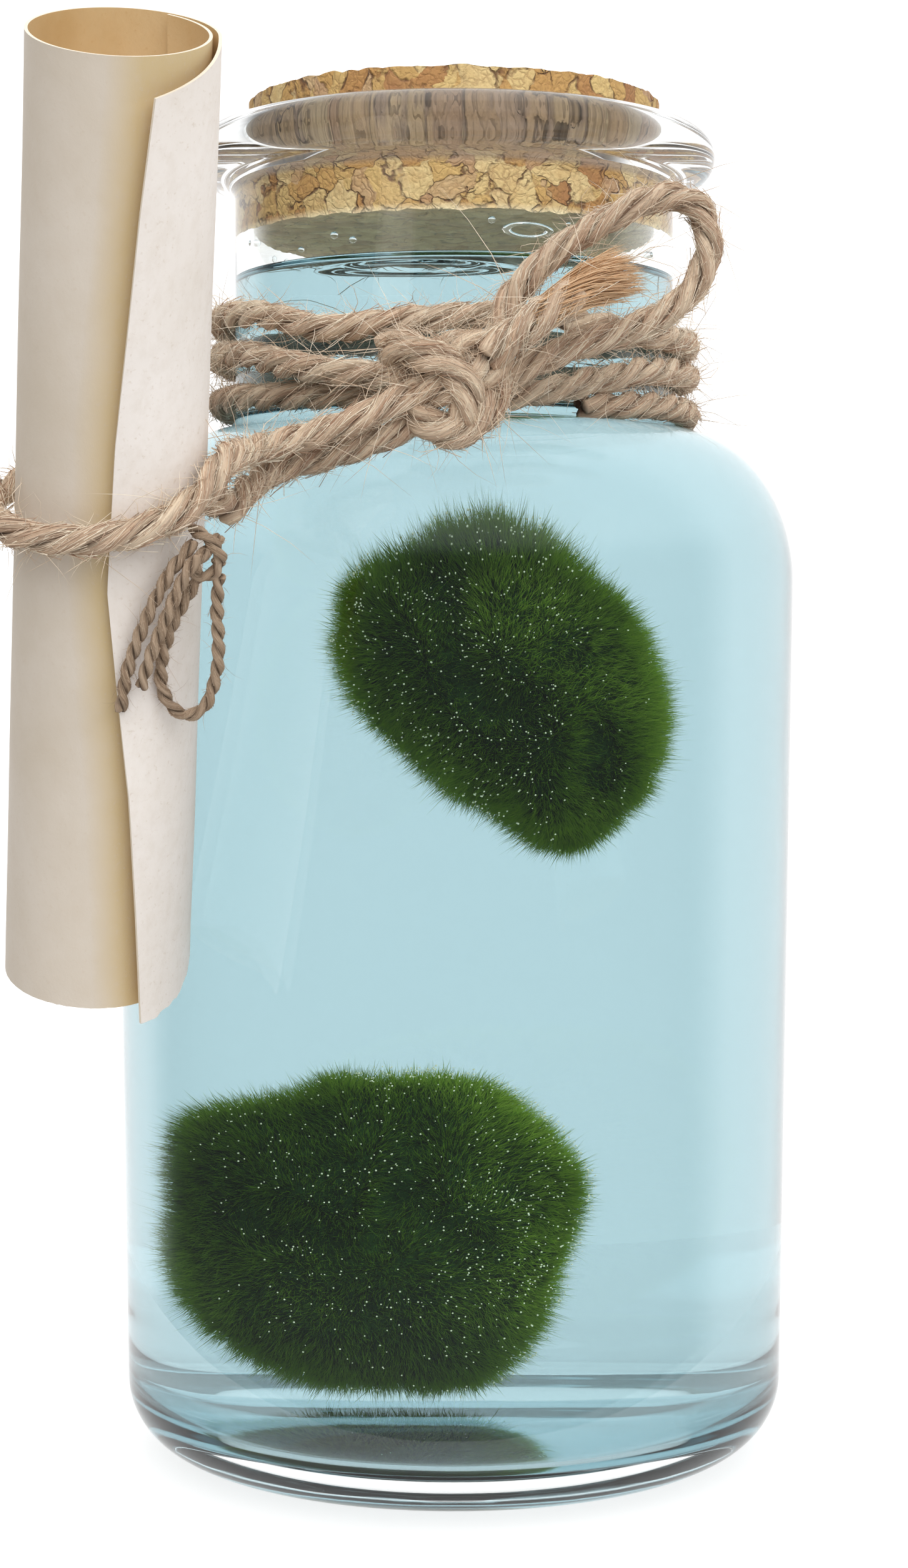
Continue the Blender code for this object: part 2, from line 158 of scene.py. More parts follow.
class Wire:
    # One output socket. A sum on it adds its Math node.
    def __init__(self, finish, socket):
        self.finish = finish
        self.socket = socket

    def __add__(self, other):
        return self.finish.sum("ADD", self, other)

    def __sub__(self, other):
        return self.finish.sum("SUBTRACT", self, other)

    def __rsub__(self, other):
        return self.finish.sum("SUBTRACT", other, self)

    def __mul__(self, other):
        return self.finish.sum("MULTIPLY", self, other)


class Finish:
    # One material, built node by node.
    def __init__(self, name):
        self.material = bpy.data.materials.new(name)
        self.material.use_nodes = True
        self.nodes = self.material.node_tree.nodes
        self.nodes.clear()

    def add(self, kind, settings, sockets, output=0):
        node = self.nodes.new("ShaderNode" + kind)
        for key, value in settings.items():
            if key == "stops":
                self.setStops(node.color_ramp, value)
            else:
                setattr(node, key, value)
        for key, value in sockets.items():
            if isinstance(value, Wire):
                self.material.node_tree.links.new(value.socket, node.inputs[key])
            else:
                node.inputs[key].default_value = value
        return Wire(self, node.outputs[output]) if node.outputs else None

    def setStops(self, ramp, stops):
        while len(ramp.elements) > 1:
            ramp.elements.remove(ramp.elements[-1])
        ramp.elements[0].position = stops[0][0]
        ramp.elements[0].color = (*stops[0][1], 1)
        for place, colour in stops[1:]:
            ramp.elements.new(place).color = (*colour, 1)

    def sum(self, operation, first, second):
        return self.add("Math", {"operation": operation}, {0: first, 1: second})

    def mix(self, factor, first, second):
        return self.add("Mix", {"data_type": "RGBA"}, {0: factor, 6: opaque(first), 7: opaque(second)}, output=2)

    def ramp(self, factor, *stops):
        return self.add("ValToRGB", {"stops": stops}, {"Fac": factor})

    def stretch(self, value, low, high):
        # 0 at low, 1 at high.
        return self.add("MapRange", {}, {0: value, 1: low, 2: high})

    def place(self):
        return self.add("TexCoord", {}, {}, output="Object")

    def along(self):
        return self.add("UVMap", {"uv_map": "along"}, {})

    def scaled(self, vector, scale):
        return self.add("Mapping", {}, {"Vector": vector, "Scale": scale})

    def noise(self, vector, scale, detail=3.0, rough=0.55):
        return self.add("TexNoise", {}, {"Vector": vector, "Scale": scale, "Detail": detail, "Roughness": rough})

    def bump(self, height, strength, distance):
        return self.add("Bump", {}, {"Height": height, "Strength": strength, "Distance": distance})

    def shade(self, **sockets):
        named = {key.replace("_", " "): opaque(value) for key, value in sockets.items()}
        return self.add("BsdfPrincipled", {}, named)

    def done(self, shader):
        self.add("OutputMaterial", {}, {"Surface": shader})
        return self.material


def opaque(value):
    return (*value, 1) if isinstance(value, tuple) and len(value) == 3 else value


def clearGlass():
    finish = Finish("clearGlass")
    ripple = finish.noise(finish.scaled(finish.place(), (1, 1, 0.45)), 95.0, 1.5)
    return finish.done(finish.shade(
        Base_Color=(0.965, 0.985, 0.985), Roughness=0.0, IOR=1.5, Transmission_Weight=1.0,
        Normal=finish.bump(ripple, 0.35, 0.00010),
    ))


def clearWater():
    finish = Finish("clearWater")
    return finish.done(
        finish.shade(Base_Color=(0.435, 0.615, 0.665), Roughness=0.0, IOR=1.333, Transmission_Weight=1.0))


def clearDrop():
    finish = Finish("clearDrop")
    return finish.done(
        finish.shade(Base_Color=(0.93, 0.97, 0.97), Roughness=0.0, IOR=1.333, Transmission_Weight=1.0))


def pressedCork():
    finish = Finish("pressedCork")
    place = finish.place()

    def pushed(vector, scale, distance):
        drift = finish.add("TexNoise", {}, {"Vector": place, "Scale": scale, "Detail": 3.0}, output="Color")
        centred = finish.add("VectorMath", {"operation": "SUBTRACT"}, {0: drift, 1: (0.5, 0.5, 0.5)})
        push = finish.add("VectorMath", {"operation": "SCALE"}, {0: centred, "Scale": distance})
        return finish.add("VectorMath", {"operation": "ADD"}, {0: vector, 1: push})

    warped = pushed(pushed(place, 230.0, 0.0046), 900.0, 0.0011)
    flakeSettings = {"Vector": warped, "Scale": 400.0, "Randomness": 1.0}
    cell = finish.add("TexVoronoi", {}, flakeSettings, output="Color")
    pickOne = finish.add("SeparateColor", {}, {"Color": cell}, output=0)
    pickTwo = finish.add("SeparateColor", {}, {"Color": cell}, output=1)
    seam = finish.add("TexVoronoi", {"feature": "DISTANCE_TO_EDGE"}, flakeSettings)
    chip = finish.add("TexVoronoi", {"feature": "DISTANCE_TO_EDGE"}, {"Vector": warped, "Scale": 1050.0})
    fine = finish.noise(place, 2100.0, 5.0, 0.7)
    patches = finish.noise(place, 520.0, 2.0)
    base = finish.ramp(
        pickOne,
        (0.0, (0.42, 0.20, 0.085)), (0.18, (0.56, 0.30, 0.10)), (0.38, (0.66, 0.42, 0.15)),
        (0.62, (0.76, 0.55, 0.23)), (0.85, (0.84, 0.66, 0.34)), (1.0, (0.54, 0.33, 0.19)),
    )
    mottled = finish.mix(finish.stretch(patches, 0.42, 0.66) * 0.35, base, (0.60, 0.36, 0.13))
    speckled = finish.mix(finish.stretch(fine, 0.46, 0.74) * 0.5, mottled, (0.36, 0.18, 0.07))
    chipped = finish.mix((1 - finish.stretch(chip, 0.0, 0.10)) * 0.45 * pickTwo, speckled, (0.30, 0.14, 0.06))
    broken = finish.stretch(finish.noise(place, 640.0, 2.0), 0.40, 0.60)
    width = finish.stretch(finish.noise(place, 300.0, 2.0), 0.40, 0.75) * 0.15 + 0.03
    crack = (1 - finish.stretch(seam, width * 0.2, width)) * broken
    seamed = finish.mix(crack * 0.85, chipped, (0.16, 0.070, 0.034))
    upwards = finish.add("SeparateXYZ", {}, {"Vector": place}, output=2)
    inLip = finish.stretch(upwards, 0.1282, 0.1290) * (1 - finish.stretch(upwards, 0.1338, 0.1346))
    pressed = finish.mix(inLip * 0.72, seamed, (0.27, 0.205, 0.15))
    # The underside is painted pale and given a faint glow: painted light that stands in for the pale light coming up
    # to it through the water.
    underside = 1 - finish.stretch(upwards, 0.12345, 0.1242)
    withPaintedUnderLight = finish.mix(underside * 0.6, pressed, (0.95, 0.88, 0.62))
    paintedUnderGlow = finish.mix(underside, (0, 0, 0), withPaintedUnderLight)
    height = (1 - crack) * 0.7 + finish.stretch(chip, 0.0, 0.2) * 0.2 + fine * 0.25 + pickTwo * 0.25
    return finish.done(finish.shade(
        Base_Color=withPaintedUnderLight, Roughness=0.82, Emission_Color=paintedUnderGlow, Emission_Strength=0.16,
        Normal=finish.bump(height, 0.9, 0.0004)))


def mossFibre():
    finish = Finish("mossFibre")
    tint = finish.add("VertexColor", {"layer_name": "tint"}, {})
    outwards = finish.add("SeparateColor", {}, {"Color": tint}, output=0)
    own = finish.add("SeparateColor", {}, {"Color": tint}, output=1)
    mottleAndShadeAmount = finish.add("SeparateColor", {}, {"Color": tint}, output=2)
    # The pale ramp and the dark ramp are lit and shaded copies of the moss's green, painted light and painted shade.
    # The third tint channel mixes them and holds random dark clouds as well as painted shade. Both ramps run darker
    # towards the roots.
    paleAndPaintedLit = finish.ramp(
        outwards,
        (0.0, (0.036, 0.100, 0.010)), (0.5, (0.24, 0.44, 0.040)), (1.0, (0.88, 1.0, 0.24)),
    )
    darkMottleAndPaintedShade = finish.ramp(
        outwards,
        (0.0, (0.006, 0.020, 0.006)), (0.5, (0.018, 0.060, 0.014)), (1.0, (0.080, 0.20, 0.035)),
    )
    blended = finish.mix(mottleAndShadeAmount, paleAndPaintedLit, darkMottleAndPaintedShade)
    varied = finish.mix(own * 0.3, blended, (0.035, 0.100, 0.010))
    body = finish.shade(Base_Color=varied, Roughness=0.6, Specular_IOR_Level=0.04)
    through = finish.add("BsdfTranslucent", {}, {"Color": opaque((0.78, 1.0, 0.16))})
    return finish.done(finish.add("MixShader", {}, {0: outwards * 0.62 + 0.14, 1: body, 2: through}))


def mossCore():
    finish = Finish("mossCore")
    cloud = finish.noise(finish.place(), 260.0, 4.0)
    colour = finish.ramp(cloud, (0.3, (0.007, 0.022, 0.006)), (0.7, (0.024, 0.068, 0.012)))
    return finish.done(finish.shade(
        Base_Color=colour, Roughness=0.9, Specular_IOR_Level=0.03, Normal=finish.bump(cloud, 0.8, 0.0006)))


def paintedGlowBead():
    finish = Finish("paintedGlowBead")
    # The beads' pale glow is painted light: emission that stands in for the light caught by the air beads.
    return finish.done(finish.shade(
        Base_Color=(0.95, 0.96, 0.62), Roughness=0.25, Coat_Weight=0.5,
        Emission_Color=(0.95, 0.95, 0.75), Emission_Strength=0.22,
    ))


def twistedJute(name, pale, middle, deep):
    finish = Finish(name)
    along = finish.along()
    streaks = finish.noise(finish.scaled(along, (26, 1.1, 1)), 1.0, 5.0, 0.65)
    clumps = finish.noise(finish.scaled(along, (5, 0.5, 1)), 1.0, 2.0)
    worn = finish.noise(finish.place(), 170.0, 2.0)
    tint = finish.add("VertexColor", {"layer_name": "tint"}, {})
    clearOfCreviceShade = finish.add("SeparateColor", {}, {"Color": tint}, output=0)
    fibres = finish.stretch(streaks, 0.36, 0.64)
    body = finish.mix(fibres, deep, middle)
    topped = finish.mix(finish.stretch(clumps, 0.42, 0.70) * 0.75, body, pale)
    faded = finish.mix(finish.stretch(worn, 0.35, 0.7) * 0.35, topped, middle)
    # Painted shade: the colour darkens to a quarter of the deep tone in the crevices between the strands, where the
    # tint's red channel is low.
    withCreviceShade = finish.mix((1 - clearOfCreviceShade) * 0.92, faded, tuple(c * 0.26 for c in deep))
    height = streaks * 0.75 + clumps * 0.25
    return finish.done(finish.shade(
        Base_Color=withCreviceShade, Roughness=0.88, Specular_IOR_Level=0.25,
        Normal=finish.bump(height, 0.9, 0.00035),
    ))


def looseFibre(name, pale, deep):
    finish = Finish(name)
    tint = finish.add("VertexColor", {"layer_name": "tint"}, {})
    own = finish.add("SeparateColor", {}, {"Color": tint}, output=1)
    return finish.done(finish.shade(
        Base_Color=finish.mix(own, deep, pale), Roughness=0.7, Specular_IOR_Level=0.3))


def parchment(name, pale, deep, fleck, paintedFlapShadow=None):
    finish = Finish(name)
    place = finish.place()
    cloud = finish.noise(place, 85.0, 4.0)
    pulp = finish.noise(finish.scaled(place, (1, 1, 0.6)), 900.0, 5.0, 0.7)
    speck = finish.noise(place, 2600.0, 2.0)
    clouded = finish.stretch(cloud, 0.34, 0.68)
    if paintedFlapShadow:
        # Along the sheet the flap is painted palest and the paper further round darker, as painted light and painted
        # shade, and a golden band beside the flap's edge is a painted shadow under the lifted flap.
        sheet = finish.add("UVMap", {"uv_map": "UVMap"}, {})
        turned = finish.add("SeparateXYZ", {}, {"Vector": sheet}, output=0)
        under = finish.stretch(turned, 0.30, 0.56)
        tone = finish.mix(under * 0.75 + clouded * 0.25, pale, deep)
        paintedShadowBand = finish.stretch(turned + (cloud - 0.5) * 0.02, 0.682, 0.728)
        tone = finish.mix(paintedShadowBand * 0.85, tone, paintedFlapShadow)
    else:
        tone = finish.mix(clouded, pale, deep)
    pulped = finish.mix(finish.stretch(pulp, 0.45, 0.75) * 0.22, tone, fleck)
    flecked = finish.mix(finish.stretch(speck, 0.62, 0.74) * 0.35, pulped, fleck)
    height = cloud * 0.4 + pulp * 0.45 + speck * 0.15
    return finish.done(finish.shade(
        Base_Color=flecked, Roughness=0.78, Specular_IOR_Level=0.3,
        Normal=finish.bump(height, 0.35, 0.00025),
    ))


def paleTable():
    # A light table: pale, and lit evenly from below too, so that the jar's foot isn't dark.
    finish = Finish("paleTable")
    return finish.done(finish.shade(
        Base_Color=(0.55, 0.553, 0.556), Roughness=0.6, Specular_IOR_Level=0.0,
        Emission_Color=(1, 1, 1), Emission_Strength=studio["tableGlow"]))


# ---- the camera, the studio and its light

studio = {
    "cameraPlace": (0, -0.295, 0.0807),
    "cameraDown": 2.5,
    "lens": 65.6,
    "sensor": 36,
    "table": {"drop": 0.0002, "radius": 0.09, "front": -0.062},
    "tableGlow": 0.55,
    "skyBright": 1.32,
    "skyInFront": 0.15,
    "skyRaised": 0.62,
    "fadeRaised": (0.20, 0.42),
    "fadeBehind": (-0.08, 0.36),
    "dimLeft": 0.45,
    "fadeOverhead": (0.86, 0.95),
    "softbox": {"place": (0, -0.3, 0.8), "from": (0.18, -0.78, 0.55), "strength": 2.4, "angle": 80},
}


def paintSky(tree):
    # White behind the jar and overhead, and grey in front, low down and at the left, where the jar's clear
    # wall mirrors it over the moss balls.
    def node(kind, values, **settings):
        made = tree.nodes.new("ShaderNode" + kind)
        for key, value in settings.items():
            setattr(made, key, value)
        for key, value in values.items():
            if isinstance(value, bpy.types.NodeSocket):
                tree.links.new(value, made.inputs[key])
            else:
                made.inputs[key].default_value = value
        return made.outputs

    way = node("SeparateXYZ", {0: node("TexCoord", {})["Generated"]})
    soft = {"interpolation_type": "SMOOTHSTEP"}
    left = node("Math", {0: way["X"], 1: 0.0}, operation="MINIMUM")[0]
    rear = node("Math", {0: left, 1: studio["dimLeft"], 2: way["Y"]}, operation="MULTIPLY_ADD")[0]
    behind = node("MapRange", {0: rear, 1: studio["fadeBehind"][0], 2: studio["fadeBehind"][1]}, **soft)[0]
    above = node("MapRange", {0: way["Z"], 1: studio["fadeOverhead"][0], 2: studio["fadeOverhead"][1]}, **soft)[0]
    most = node("Math", {0: behind, 1: above}, operation="MAXIMUM")[0]
    height = node("Math", {0: way["Z"]}, operation="ABSOLUTE")[0]
    front = node("MapRange", {0: height, 1: studio["fadeRaised"][0], 2: studio["fadeRaised"][1],
                              3: studio["skyInFront"], 4: studio["skyRaised"]}, **soft)[0]
    light = node("MapRange", {0: most, 3: front, 4: studio["skyBright"]})[0]
    tree.nodes["Background"].inputs["Color"].default_value = (1, 1, 1, 1)
    tree.links.new(light, tree.nodes["Background"].inputs["Strength"])


def setUpStudio():
    bpy.ops.object.camera_add(
        location=studio["cameraPlace"], rotation=(math.radians(90 - studio["cameraDown"]), 0, 0))
    camera = bpy.context.active_object
    camera.data.lens = studio["lens"]
    camera.data.sensor_width = studio["sensor"]
    camera.data.clip_start = 0.01
    bpy.context.scene.camera = camera

    # The jar stands near the front edge of a round table, so that its glass mirrors little of the white top.
    table = studio["table"]
    floor = newPrimitive(
        "floor", bpy.ops.mesh.primitive_circle_add, vertices=256, radius=table["radius"], fill_type="NGON",
        location=(0, table["front"] + table["radius"], -table["drop"]))
    applyPlace(floor)
    floor.data.materials.append(paleTable())

    world = bpy.data.worlds.new("softSky")
    world.use_nodes = True
    paintSky(world.node_tree)
    bpy.context.scene.world = world

    softbox = studio["softbox"]
    towards = -Vector(softbox["from"])
    bpy.ops.object.light_add(
        type="SUN", location=softbox["place"], rotation=towards.to_track_quat("-Z", "Y").to_euler())
    lamp = bpy.context.active_object
    lamp.name = "overheadSoftbox"
    lamp.data.energy = softbox["strength"]
    lamp.data.angle = math.radians(softbox["angle"])

    scene = bpy.context.scene
    scene.view_settings.view_transform = "Standard"
    scene.cycles.use_denoising = True
    scene.cycles.max_bounces = 20
    scene.cycles.transmission_bounces = 18
    scene.cycles.transparent_max_bounces = 16
    scene.cycles.diffuse_bounces = 5
    scene.cycles.glossy_bounces = 6
    scene.cycles.blur_glossy = 0.3
    scene.cycles.sample_clamp_indirect = 6.0
    print("studio set up")
    return lamp


def keepLampOffGlass(lamp, clearPieces):
    # As if the softbox had a polarising filter: the clear pieces neither mirror it nor cast its shadow.
    group = bpy.data.collections.new("clearPieces")
    for piece in clearPieces:
        group.objects.link(piece)
    for entry in group.collection_objects:
        entry.light_linking.link_state = "EXCLUDE"
    lamp.light_linking.receiver_collection = group
    lamp.light_linking.blocker_collection = group


# ---- ropes, and the loose fibres on them


def smoothLine(points, step):
    # Even steps along a smooth curve through the points.
    route = np.array(points, float)
    padded = np.vstack([2 * route[0] - route[1], route, 2 * route[-1] - route[-2]])
    t = np.linspace(0, 1, 16, endpoint=False)[:, None]
    fine = []
    for before, here, after, beyond in zip(padded, padded[1:], padded[2:], padded[3:]):
        fine.append(curveThrough(before, here, after, beyond, t))
    fine = np.vstack(fine + [route[-1:]])
    reached = np.concatenate([[0], np.cumsum(np.linalg.norm(np.diff(fine, axis=0), axis=1))])
    places = np.linspace(0, reached[-1], max(8, round(reached[-1] / step) + 1))
    return np.column_stack([np.interp(places, reached, fine[:, axis]) for axis in range(3)])


def lineLength(line):
    return float(np.linalg.norm(np.diff(line, axis=0), axis=1).sum())


def framesAlong(line):
    # A direction along the line at each point, and two across it that don't twist.
    ahead = np.gradient(line, axis=0)
    ahead /= np.linalg.norm(ahead, axis=1)[:, None]
    side = np.zeros_like(line)
    start = np.cross(ahead[0], (0.31, 0.17, 0.93))
    side[0] = start / np.linalg.norm(start)
    for k in range(1, len(line)):
        turned = side[k - 1] - ahead[k] * (side[k - 1] @ ahead[k])
        side[k] = turned / np.linalg.norm(turned)
    return ahead, side, np.cross(ahead, side)


# How unevenly the strands of each rope are laid.
uneven = {"wobbleScale": 230, "swellScale": 420, "turn": 0.35, "apart": 0.07, "swell": 0.10}


def tubeFaces(rings, sides, base):
    # Quads between rings of points, with a fan of triangles over each end. Points are rings, then two poles.
    ring, spoke = np.meshgrid(np.arange(rings - 1), np.arange(sides), indexing="ij")
    nextSpoke = (spoke + 1) % sides
    quads = np.stack([ring * sides + spoke, ring * sides + nextSpoke,
                      (ring + 1) * sides + nextSpoke, (ring + 1) * sides + spoke], axis=-1).reshape(-1, 4)
    around = np.arange(sides)
    after = (around + 1) % sides
    last = (rings - 1) * sides
    first = np.stack([np.full(sides, rings * sides), after, around], axis=-1)
    final = np.stack([np.full(sides, rings * sides + 1), last + around, last + after], axis=-1)
    return (quads + base).tolist() + (first + base).tolist() + (final + base).tolist()


def layStrand(line, look, thickness, seed, strand):
    # One strand's centre line, the way out from the rope, the way beside that, the strand's radius, the way
    # ahead along it, and how far along the rope each point is.
    _, side, up = framesAlong(line)
    reached = np.concatenate([[0], np.cumsum(np.linalg.norm(np.diff(line, axis=0), axis=1))])
    wobble = np.array([noise.noise(Vector((s * uneven["wobbleScale"], strand * 7.3, seed))) for s in reached])
    swell = np.array([noise.noise(Vector((s * uneven["swellScale"], strand * 3.1 + 50, seed))) for s in reached])
    phase = -math.tau * (reached / look["lay"] + strand / look["strands"]) + uneven["turn"] * wobble
    out = side * np.cos(phase)[:, None] + up * np.sin(phase)[:, None]
    centre = line + out * (thickness * look["apart"] * (1 + uneven["apart"] * wobble))[:, None]
    strandAhead = np.gradient(centre, axis=0)
    strandAhead /= np.linalg.norm(strandAhead, axis=1)[:, None]
    out -= strandAhead * (out * strandAhead).sum(axis=1)[:, None]
    out /= np.linalg.norm(out, axis=1)[:, None]
    radius = thickness * look["strandRadius"] * (1 + uneven["swell"] * swell)
    return centre, out, np.cross(strandAhead, out), radius, strandAhead, reached


def ropeMesh(name, line, look, thickness, seed):
    # Strands laid round each other along a line. Their UV runs round the strand, and along it in 10 mm.
    rng = np.random.default_rng(seed)
    sides, count = look["sides"], len(line)
    angles = np.arange(sides) / sides * math.tau + math.pi
    ring, spoke = np.meshgrid(np.arange(count - 1), np.arange(sides), indexing="ij")
    points, faces, corners, tints = [], [], [], []
    for strand in range(look["strands"]):
        centre, out, beside, radius, strandAhead, reached = layStrand(line, look, thickness, seed, strand)
        spin = look["yarns"] * 0.5 * reached / look["lay"] * math.tau
        ridge = 1 + look["ridge"] * np.cos(angles[None, :] * look["yarns"] - spin[:, None])
        around = np.cos(angles)[None, :, None] * out[:, None, :] + np.sin(angles)[None, :, None] * beside[:, None, :]
        rings = centre[:, None, :] + around * (radius[:, None] * ridge)[:, :, None]
        poles = np.array([centre[0] - strandAhead[0] * radius[0] * 0.4,
                          centre[-1] + strandAhead[-1] * radius[-1] * 0.4])
        faces += tubeFaces(count, sides, sum(len(p) for p in points))
        points.append(np.vstack([rings.reshape(-1, 3), poles]))
        # The tint's red channel runs from 0 deep between the strands to 1 on their outsides: it masks the painted
        # shade in the crevices.
        far = np.linalg.norm(rings - line[:, None, :], axis=2) / thickness
        tint = np.zeros((count * sides + 2, 4))
        tint[:-2, 0] = (np.clip((far - 0.20) / 0.24, 0, 1) ** 0.8).ravel()
        tint[:, 1] = rng.random()
        tint[:, 3] = 1
        tints.append(tint)
        # The pattern turns a little round the strand, as its fibres do.
        u = np.arange(sides + 1) / sides + strand * 1.7 + seed * 0.13
        slide = -0.5 * reached / look["lay"]
        v = reached * 100
        here, after = slide[ring], slide[ring + 1]
        quadUv = np.stack([u[spoke] + here, v[ring], u[spoke + 1] + here, v[ring],
                           u[spoke + 1] + after, v[ring + 1], u[spoke] + after, v[ring + 1]], axis=-1)
        caps = np.zeros((sides * 6, 2))
        caps[:, 0] = u[0]
        caps[sides * 3:, 1] = v[-1]
        corners += [quadUv.reshape(-1, 2), caps]
    return meshOf(name, np.vstack(points), faces, uv=np.vstack(corners), tint=np.vstack(tints))


def fibreMesh(name, spines, widths, tints):
    # Thin pointed fibres of three sides. spines is (fibres, rings, 3), widths (fibres, rings), and the last
    # point is the tip.
    sides = 3
    count, rings, _ = spines.shape
    ahead = np.gradient(spines, axis=1)
    ahead /= np.linalg.norm(ahead, axis=2)[:, :, None] + 1e-12
    helper = np.where(np.abs(ahead[:, :1, 2:3]) > 0.9, np.array([1.0, 0, 0]), np.array([0, 0, 1.0]))
    across = np.cross(ahead, helper)
    across /= np.linalg.norm(across, axis=2)[:, :, None] + 1e-12
    other = np.cross(ahead, across)
    angles = np.arange(sides) / sides * math.tau
    body = rings - 1
    circle = (np.cos(angles)[None, None, :, None] * across[:, :body, None, :]
              + np.sin(angles)[None, None, :, None] * other[:, :body, None, :])
    shell = spines[:, :body, None, :] + circle * (widths[:, :body, None, None] / 2)
    points = np.concatenate([shell.reshape(count, -1, 3), spines[:, -1:, :]], axis=1)
    perFibre = body * sides + 1
    faces = []
    for ring in range(body - 1):
        for spoke in range(sides):
            after = (spoke + 1) % sides
            low, high = ring * sides, (ring + 1) * sides
            faces.append((low + spoke, low + after, high + after))
            faces.append((low + spoke, high + after, high + spoke))
    top = (body - 1) * sides
    for spoke in range(sides):
        faces.append((top + spoke, top + (spoke + 1) % sides, perFibre - 1))
    for spoke in range(1, sides - 1):
        faces.append((0, spoke + 1, spoke))
    allFaces = (np.array(faces)[None] + (np.arange(count) * perFibre)[:, None, None]).reshape(-1, 3)
    tint = np.ones((count, perFibre, 4))
    ringPart = np.append(np.repeat(np.arange(body) / body, sides), 1.0)
    tint[:, :, 0] = ringPart[None]
    tint[:, :, 1] = tints[:, 0:1]
    tint[:, :, 2] = tints[:, 1:2]
    return meshOf(name, points.reshape(-1, 3), allFaces.tolist(), tint=tint.reshape(-1, 4))


# How the hairs stand off a rope: their lean from it in degrees, how far they curl and sag, and how deep in
# the rope they are rooted, as a share of its thickness.
hairWay = {"lean": (8, 62), "curl": 0.42, "straighten": 0.1, "sag": 0.10, "bend": 0.8, "rooted": (0.30, 0.46),
           "widths": (0.6, 1.3), "thinning": 0.75}


def looseHairs(name, line, thickness, perMetre, look, seed):
    # Short fibres that stand off a rope, and a few long ones.
    rng = np.random.default_rng(seed)
    ahead, side, up = framesAlong(line)
    count = max(4, round(lineLength(line) * perMetre))
    at = rng.integers(1, len(line) - 1, count)
    angle = rng.random(count) * math.tau
    out = side[at] * np.cos(angle)[:, None] + up[at] * np.sin(angle)[:, None]
    length = look["short"] + look["spread"] * rng.gamma(1.4, 0.5, count)
    long = rng.random(count) < look["longShare"]
    length[long] = look["long"] * (0.5 + 0.8 * rng.random(long.sum()))
    lean = np.radians(rng.uniform(*hairWay["lean"], count))
    way = np.where(rng.random(count) < 0.5, -1.0, 1.0)
    start = ahead[at] * (way * np.cos(lean))[:, None] + out * np.sin(lean)[:, None]
    curl = (rng.normal(0, hairWay["curl"], (count, 3)) - ahead[at] * (way * hairWay["straighten"])[:, None]
            + np.array([0, 0, -hairWay["sag"]]))
    t = np.linspace(0, 1, look["rings"])
    root = line[at] + out * (thickness * rng.uniform(*hairWay["rooted"], count))[:, None]
    spines = (root[:, None] + start[:, None] * (length[:, None] * t)[:, :, None]
              + curl[:, None] * (length[:, None] * t ** 2)[:, :, None] * hairWay["bend"])
    widths = ((look["width"] * rng.uniform(*hairWay["widths"], count))[:, None]
              * (1 - hairWay["thinning"] * t ** 2)[None])
    kept = staysClear(spines)
    return fibreMesh(name, spines[kept], widths[kept], rng.random((kept.sum(), 2)))


# How the fine fibres lie on a strand: how far round its outer side they start, in radians, how they turn on
# it, how sharply their ends lift, and how they vary.
laidWay = {"round": 1.75, "turn": 0.9, "turnStray": 0.5, "lift": 2.6, "lengths": (0.6, 1.25), "widths": (0.6, 1.4),
           "depth": (0.99, 1.05), "thinning": 0.5}


def laidFibres(line, look, thickness, perMetre, seed):
    # Spines and widths of fine fibres that follow the strands' outer sides, with ends that come loose.
    rng = np.random.default_rng(seed + 500)
    whole = np.arange(len(line))
    t = np.linspace(-0.5, 0.5, look["fibreRings"])
    spines, widths = [], []
    for strand in range(look["strands"]):
        centre, out, beside, radius, _, reached = layStrand(line, look, thickness, seed, strand)
        count = max(4, round(reached[-1] * perMetre / look["strands"]))
        length = np.minimum(look["fibreLength"] * rng.uniform(*laidWay["lengths"], count), reached[-1] * 0.9)
        half = length / 2 / reached[-1] * (len(line) - 1)
        middle = half + rng.random(count) * (len(line) - 1 - 2 * half)
        places = middle[:, None] + 2 * half[:, None] * t[None]

        def at(values):
            return np.stack([np.interp(places, whole, values[:, k]) for k in range(3)], axis=-1)

        own = rng.uniform(-laidWay["round"], laidWay["round"], count)[:, None]
        own = own + rng.normal(laidWay["turn"], laidWay["turnStray"], count)[:, None] * t[None]
        loose = look["fibreLoose"] * rng.gamma(1.2, 1.0, (count, 2))
        lift = np.where(t[None] < 0, loose[:, :1], loose[:, 1:]) * np.abs(2 * t[None]) ** laidWay["lift"]
        away = np.interp(places, whole, radius) * rng.uniform(*laidWay["depth"], count)[:, None] + lift
        spines.append(at(centre) + (at(out) * np.cos(own)[:, :, None] + at(beside) * np.sin(own)[:, :, None])
                      * away[:, :, None])
        widths.append((look["fibreWidth"] * rng.uniform(*laidWay["widths"], count))[:, None]
                      * (1 - laidWay["thinning"] * (t + 0.5) ** 2)[None])
    return np.concatenate(spines), np.concatenate(widths)


fibreRoom = {"pastBox": 0.0012, "offGlass": 0.00005}


def staysClear(spines):
    # True for the fibres that stay outside the glass and don't stand past the model's own box.
    flat = spines.reshape(-1, 3)
    profile = np.array(outerProfile()[::-1])
    limit = np.interp(flat[:, 2], profile[:, 1], profile[:, 0]) + fibreRoom["offGlass"]
    outside = (np.hypot(flat[:, 0], flat[:, 1]) > limit).reshape(spines.shape[:2]).all(axis=1)
    low, high = np.array(cadBox[0]) - fibreRoom["pastBox"], np.array(cadBox[1]) + fibreRoom["pastBox"]
    return outside & ((spines > low) & (spines < high)).all(axis=(1, 2))


# ---- the glass jar and its water

